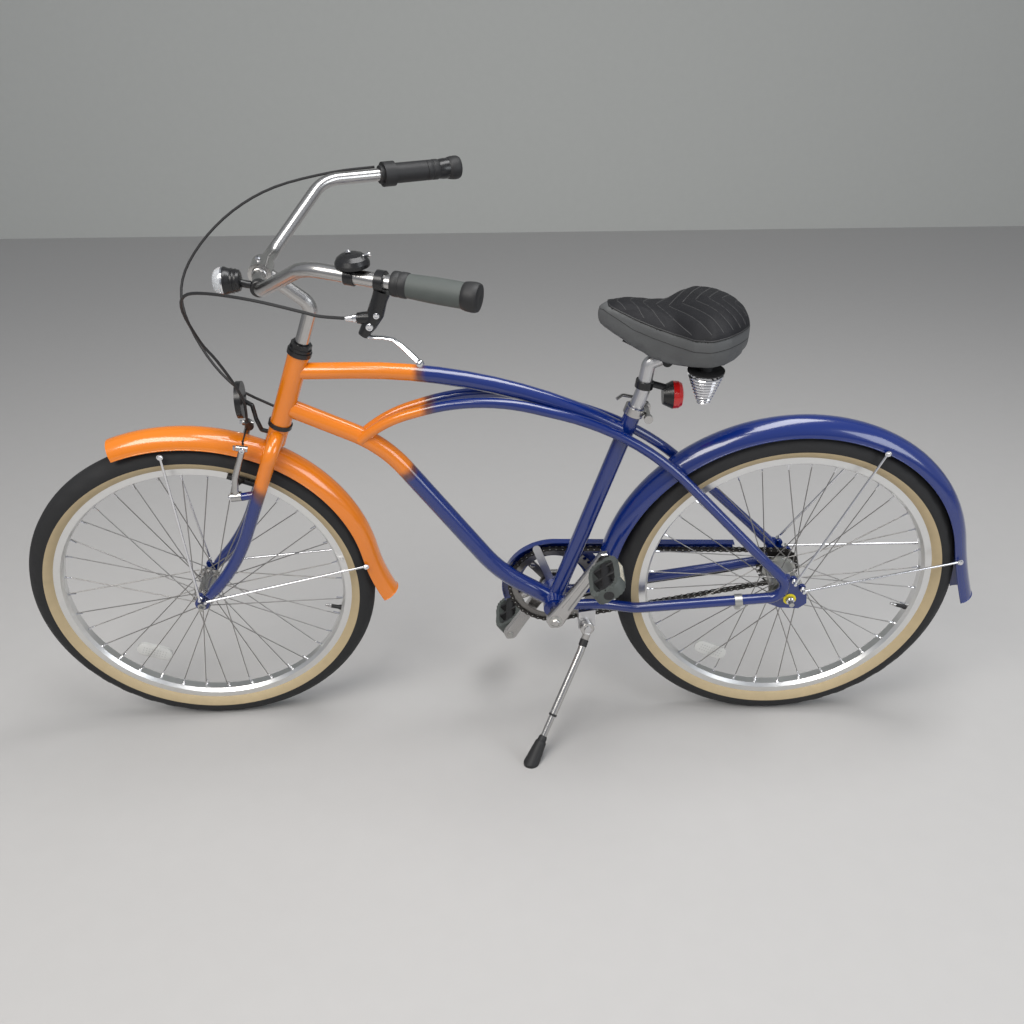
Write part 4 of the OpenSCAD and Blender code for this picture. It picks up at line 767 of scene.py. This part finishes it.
arms.turn(CRANK @ Vector((0, -0.0625, 0)), y_crank, [(0, 0.0088), (0.125, 0.0088)], 24)
arms.done("crank_arms", angle=30)

for s, body in ((1, "left_pedal"), (-1, "right_pedal")):
    place = CRANK @ Matrix.Translation((s * 0.17, s * 0.088, 0)) @ Matrix.Rotation(math.radians(121.7 + 36), 4, "Y")
    pedal = Piece(body + "_platform", body, rubber_grey)

    def outline(grow, n=40):
        """Platform outline seen from above: wide waist, narrower ends, as (x, y)."""
        pts = []
        for k in range(n):
            a = math.tau * k / n
            c, d = math.cos(a), math.sin(a)
            x = (32 - grow) * math.copysign(abs(c) ** 0.55, c)
            y = 48.5 + (47.8 - grow) * math.copysign(abs(d) ** 0.5, d)
            pts.append((x, y))
        return pts

    outer, inner = outline(0), outline(9)
    # The cage: outer wall, top rim with teeth and the inner wall, as one ring of sections
    rings = []
    for k, ((xo, yo), (xi, yi)) in enumerate(zip(outer, inner)):
        h = 12.4 if k % 2 else 10.9
        ring = [(xo, yo, -h + 1.5), (xo, yo, h - 1.5), (xo * 0.97, yo, h), (xi, yi, h), (xi, yi, -h), (xo * 0.97, yo, -h)]
        rings.append([place @ Vector((x / 1000, s * y / 1000, z / 1000)) for x, y, z in ring])
    pedal.rings(rings, loop=True)
    pedal.use(black_matte)
    y_pedal = (place.to_3x3() @ Vector((0, 1, 0))).normalized()
    pedal.turn(place @ Vector((0, s * 0.002, 0)), y_pedal * s, [(0, 0.0095), (0.002, 0.011), (0.03, 0.0095), (0.07, 0.0105), (0.088, 0.0095)], 28)
    for y in (18, 48, 78):
        pedal.block(place @ Matrix.Translation((0, s * y / 1000, 0)), (0.05, 0.006, 0.018), 0.3)
    pedal.use(black_gloss).turn(place @ Vector((0, s * 0.0895, 0)), y_pedal * s, [(0, 0.0112), (0.004, 0.0112), (0.0068, 0.0095), (0.0072, 0.0)], 28)
    pedal.use(reflector_amber)
    for x in (-1, 1):
        pedal.block(place @ Matrix.Translation((x * 0.0312, s * 0.0485, 0)), (0.0016, 0.046, 0.013), 0.3)
    pedal.done(body, angle=32)

# ---------------------------------------------------------------- brake lever: black body, silver blade
lever = Piece("brake_lever_parts", "steering", black_gloss)
clamp_dir = (bar_bends[0] - bar_ends[0]).normalized()
lever.turn(bar_ends[0] + clamp_dir * 0.1365, clamp_dir, [(0, 0.0145), (0.001, 0.0158), (0.013, 0.0158), (0.0138, 0.0145)], 36)
body_line = [in_steering(*p) for p in ((729, 258, 1038), (734, 259, 1026), (741, 261, 1006), (751, 262, 990), (762, 263, 974))]
lever.tube(body_line, [0.0125, 0.0115, 0.0125, 0.011, 0.0075], 18)
barrel = in_steering(744, 262, 1000)
pull = in_steering(786, 262, 1001) - barrel
lever.turn(barrel, pull, [(0, 0.0095), (0.014, 0.009), (0.024, 0.0078), (0.0245, 0.0062)], 24)
lever.use(chrome).turn(barrel, pull, [(0.0243, 0.0052), (0.0255, 0.006), (0.030, 0.006), (0.031, 0.005), (0.033, 0.005),
                                      (0.034, 0.0046), (0.0405, 0.0038)], 24)
lever.bolt(in_steering(740, 272.5, 1007), y_steer, 0.0048, 0.0028)
lever.bolt(in_steering(751, 272, 990), y_steer, 0.0056, 0.0028)
blade = [(757, 262, 984), (762, 262, 975), (748, 263, 970.5), (732, 266.5, 970.5), (718, 272, 969), (705, 281, 961),
         (692, 291, 951), (683, 298.5, 943.5)]
rings = []
for i, p in enumerate(blade):
    a, b = Vector(blade[max(0, i - 1)]), Vector(blade[min(len(blade) - 1, i + 1)])
    h = (b - a).normalized()
    flat = h.cross(Vector((0, 0, 1))).normalized()
    lift = flat.cross(h)
    w = [4, 5.2, 5, 4.6, 4.8, 5.4, 6, 5.2][i]
    rings.append([in_steering(*(Vector(p) + w * math.cos(math.tau * j / 14) * flat + 2.7 * math.sin(math.tau * j / 14) * lift))
                  for j in range(14)])
lever.rings(rings)
lever.turn(in_steering(682.5, 299, 943), in_steering(680, 301, 941) - in_steering(682.5, 299, 943),
           [(-0.0045, 0.0035), (-0.002, 0.0056), (0.001, 0.0062), (0.004, 0.0052), (0.0055, 0.003)], 16)
lever.done("brake_lever")

# ---------------------------------------------------------------- saddle: cloth-simulated pad, then skirt, piping and seams
SEAM = [(124, 872), (132, 876), (148, 881), (172, 883), (202, 880), (232, 876), (262, 876), (292, 881), (322, 889),
        (352, 900), (374, 906), (386, 900)]
HALF = [(124, 24), (132, 50), (148, 80), (172, 108), (202, 120), (232, 108), (262, 82), (292, 63), (322, 47), (352, 33),
        (374, 19), (386, 7)]


def table(rows, x):
    for (x0, v0), (x1, v1) in zip(rows, rows[1:]):
        if x <= x1:
            t = max(0.0, (x - x0) / (x1 - x0))
            return v0 + (v1 - v0) * t
    return rows[-1][1]


def saddle_pad():
    pad = bpy.data.objects.new("saddle_cover", nodes["saddle"].data.copy())
    bpy.context.collection.objects.link(pad)
    centre = sum((v.co for v in pad.data.vertices), Vector()) / len(pad.data.vertices)
    for v in pad.data.vertices:
        v.co = centre + (v.co - centre) * 0.982
    remesh = pad.modifiers.new("remesh", "REMESH")
    remesh.mode = "VOXEL"
    remesh.voxel_size = 0.005
    smooth = pad.modifiers.new("smooth", "SMOOTH")
    smooth.factor, smooth.iterations = 0.5, 6
    graph = bpy.context.evaluated_depsgraph_get()
    mesh = bpy.data.meshes.new_from_object(pad.evaluated_get(graph))
    pad.modifiers.clear()
    pad.data = mesh
    before = [v.co.copy() for v in mesh.vertices]
    cloth = pad.modifiers.new("cloth", "CLOTH")
    cloth.settings.use_pressure = True
    cloth.settings.uniform_pressure_force = 4
    cloth.settings.effector_weights.gravity = 0
    cloth.settings.tension_stiffness = 40
    cloth.settings.compression_stiffness = 40
    for frame_no in range(1, 21):
        bpy.context.scene.frame_set(frame_no)
    graph = bpy.context.evaluated_depsgraph_get()
    puffed = bpy.data.meshes.new_from_object(pad.evaluated_get(graph))
    pad.modifiers.clear()
    bpy.context.scene.frame_set(1)
    for v, p in zip(mesh.vertices, puffed.vertices):
        move = p.co - before[v.index]
        if move.length > 0.004:
            move *= 0.004 / move.length
        v.co = before[v.index] + move
    low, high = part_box("saddle")
    inverse = PARK.inverted()
    for v in mesh.vertices:
        for k in range(3):
            v.co[k] = min(max(v.co[k], low[k]), high[k])
        # Shallow sewn channels over the top, fading out towards the skirt
        q = inverse @ v.co * 1000
        edge = table(SEAM, q[0]) + 7
        if q[2] > edge + 6:
            phase = (q[0] + abs(q[1]) * 0.55) / 22
            near = abs(phase - round(phase)) * 22
            dip = max(0.0, 1 - near / 4.5) * min(1.0, (q[2] - edge - 6) / 5)
            v.co += (PARK.to_3x3() @ Vector((0, 0, -1))) * 0.0014 * dip
    mesh.materials.clear()
    mesh.materials.append(skin_black)
    mesh.materials.append(skirt_grey)
    mesh.materials.append(black_matte)
    for face in mesh.polygons:
        q = inverse @ face.center * 1000
        down = (inverse.to_3x3() @ face.normal)[2]
        face.material_index = 0 if q[2] > table(SEAM, q[0]) + 6 else 2 if down < -0.75 else 1
    mesh.shade_smooth()
    tree = BVHTree.FromPolygons([v.co.copy() for v in mesh.vertices], [list(f.vertices) for f in mesh.polygons])
    sub = pad.modifiers.new("round", "SUBSURF")
    sub.levels = sub.render_levels = 1
    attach(pad, "frame")
    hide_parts("saddle")

    def cast(start, toward):
        a, b = in_frame(*start), in_frame(*toward)
        return tree.ray_cast(a, (b - a).normalized())[0]

    trim = Piece("saddle_piping", "frame", black_matte)
    for lift in (6.5, -12):
        loop = []
        for s, xs in ((1, range(134, 384, 5)), (-1, range(379, 129, -5))):
            for x in xs:
                z = table(SEAM, x) + (lift if lift > 0 else lift * min(1.0, (386 - x) / 60))
                hit = cast((x, s * 200, z), (x, 0, z))
                if hit is not None:
                    loop.append(hit)
        if len(loop) > 20:
            trim.tube(loop, 0.0016 if lift > 0 else 0.0006, 8, loop=True)
    trim.use(thread_grey)
    for k in range(7, 18):
        for s in (1, -1):
            line = []
            for i in range(0, 23):
                y = 2 + i * 4.6
                x = 22 * k - 0.55 * y
                if not 136 < x < 374 or y > table(HALF, x) - 13:
                    break
                hit = cast((x, s * y, 960), (x, s * y, 800))
                if hit is not None:
                    line.append(hit - (PARK.to_3x3() @ Vector((0, 0, 1))) * 0.0002)
            if len(line) > 3:
                trim.tube(line, 0.0007, 6)
    trim.done(angle=60)


skin_black = material("saddle_skin", (0.01, 0.01, 0.012), rough=0.58, spec=0.22, grain=0.18, grain_size=50, bump=0.35, bump_size=1400)
skirt_grey = material("saddle_skirt", (0.085, 0.088, 0.09), rough=0.55, grain=0.12, grain_size=60, bump=0.3, bump_size=1400)
thread_grey = material("saddle_thread", (0.05, 0.05, 0.05), rough=0.7, grain=0.2)
saddle_pad()

# ---------------------------------------------------------------- shift cable
def shift_cable():
    """A smooth-shaded copy of the cable's mesh, standing in for the CAD part."""
    cable = bpy.data.objects.new("shift_cable_loop", nodes["shift_cable_bar"].data.copy())
    bpy.context.collection.objects.link(cable)
    cable.data.shade_smooth()
    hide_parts("shift_cable_bar")
    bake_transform(cable)


shift_cable()

# ---------------------------------------------------------------- floor, light and camera
bpy.ops.mesh.primitive_plane_add(size=30, location=(0, 0, 0))
floor = bpy.context.object
floor.name = "floor"
floor.data.materials.append(material("floor_pale", (0.5, 0.49, 0.48), rough=0.7, grain=0.02, grain_size=20))
bpy.ops.mesh.primitive_plane_add(size=30, location=(0, -6, 0), rotation=(math.radians(90), 0, 0))
wall = bpy.context.object
wall.name = "backdrop"
wall.data.materials.append(material("wall_pale", (0.62, 0.63, 0.6), rough=0.8, grain=0.02, grain_size=20))

world = bpy.data.worlds.new("studio")
bpy.context.scene.world = world
world.use_nodes = True
world.node_tree.nodes["Background"].inputs["Color"].default_value = (0.9, 0.93, 1.0, 1)
world.node_tree.nodes["Background"].inputs["Strength"].default_value = 0.38


def area(name, at, look, size, power, colour=(1, 1, 1)):
    light = bpy.data.lights.new(name, "AREA")
    light.shape = "RECTANGLE"
    light.size, light.size_y = size
    light.energy = power
    light.color = colour
    obj = bpy.data.objects.new(name, light)
    bpy.context.collection.objects.link(obj)
    obj.location = at
    obj.rotation_euler = (Vector(look) - Vector(at)).to_track_quat("-Z", "Y").to_euler()
    return obj


area("key", (1.6, 2.6, 3.2), (0, 0, 0.5), (2.4, 1.6), 90, (1.0, 0.97, 0.92))
area("overhead", (-0.6, 0.4, 3.6), (0, 0, 0.4), (3.2, 1.2), 80)
area("fill", (-2.8, 2.0, 1.6), (0, 0, 0.5), (1.6, 1.6), 30, (0.92, 0.96, 1.0))

pitch, yaw, roll = math.radians(24.81), math.radians(-0.36), math.radians(-0.79)
forward = Vector((-math.sin(yaw) * math.cos(pitch), -math.cos(yaw) * math.cos(pitch), -math.sin(pitch)))
right = forward.cross(Vector((0, 0, 1))).normalized()
up = right.cross(forward)
right, up = math.cos(roll) * right + math.sin(roll) * up, -math.sin(roll) * right + math.cos(roll) * up
camera = bpy.data.objects.new("camera", bpy.data.cameras.new("camera"))
bpy.context.collection.objects.link(camera)
camera.data.lens = 36.246
camera.data.sensor_width = 36
camera.matrix_world = Matrix((
    (right[0], up[0], -forward[0], 0.521 + SHIFT[0]),
    (right[1], up[1], -forward[1], 1.842 + SHIFT[1]),
    (right[2], up[2], -forward[2], 1.310 + SHIFT[2]),
    (0, 0, 0, 1)))
bpy.context.scene.camera = camera
bpy.context.scene.view_settings.view_transform = "Standard"
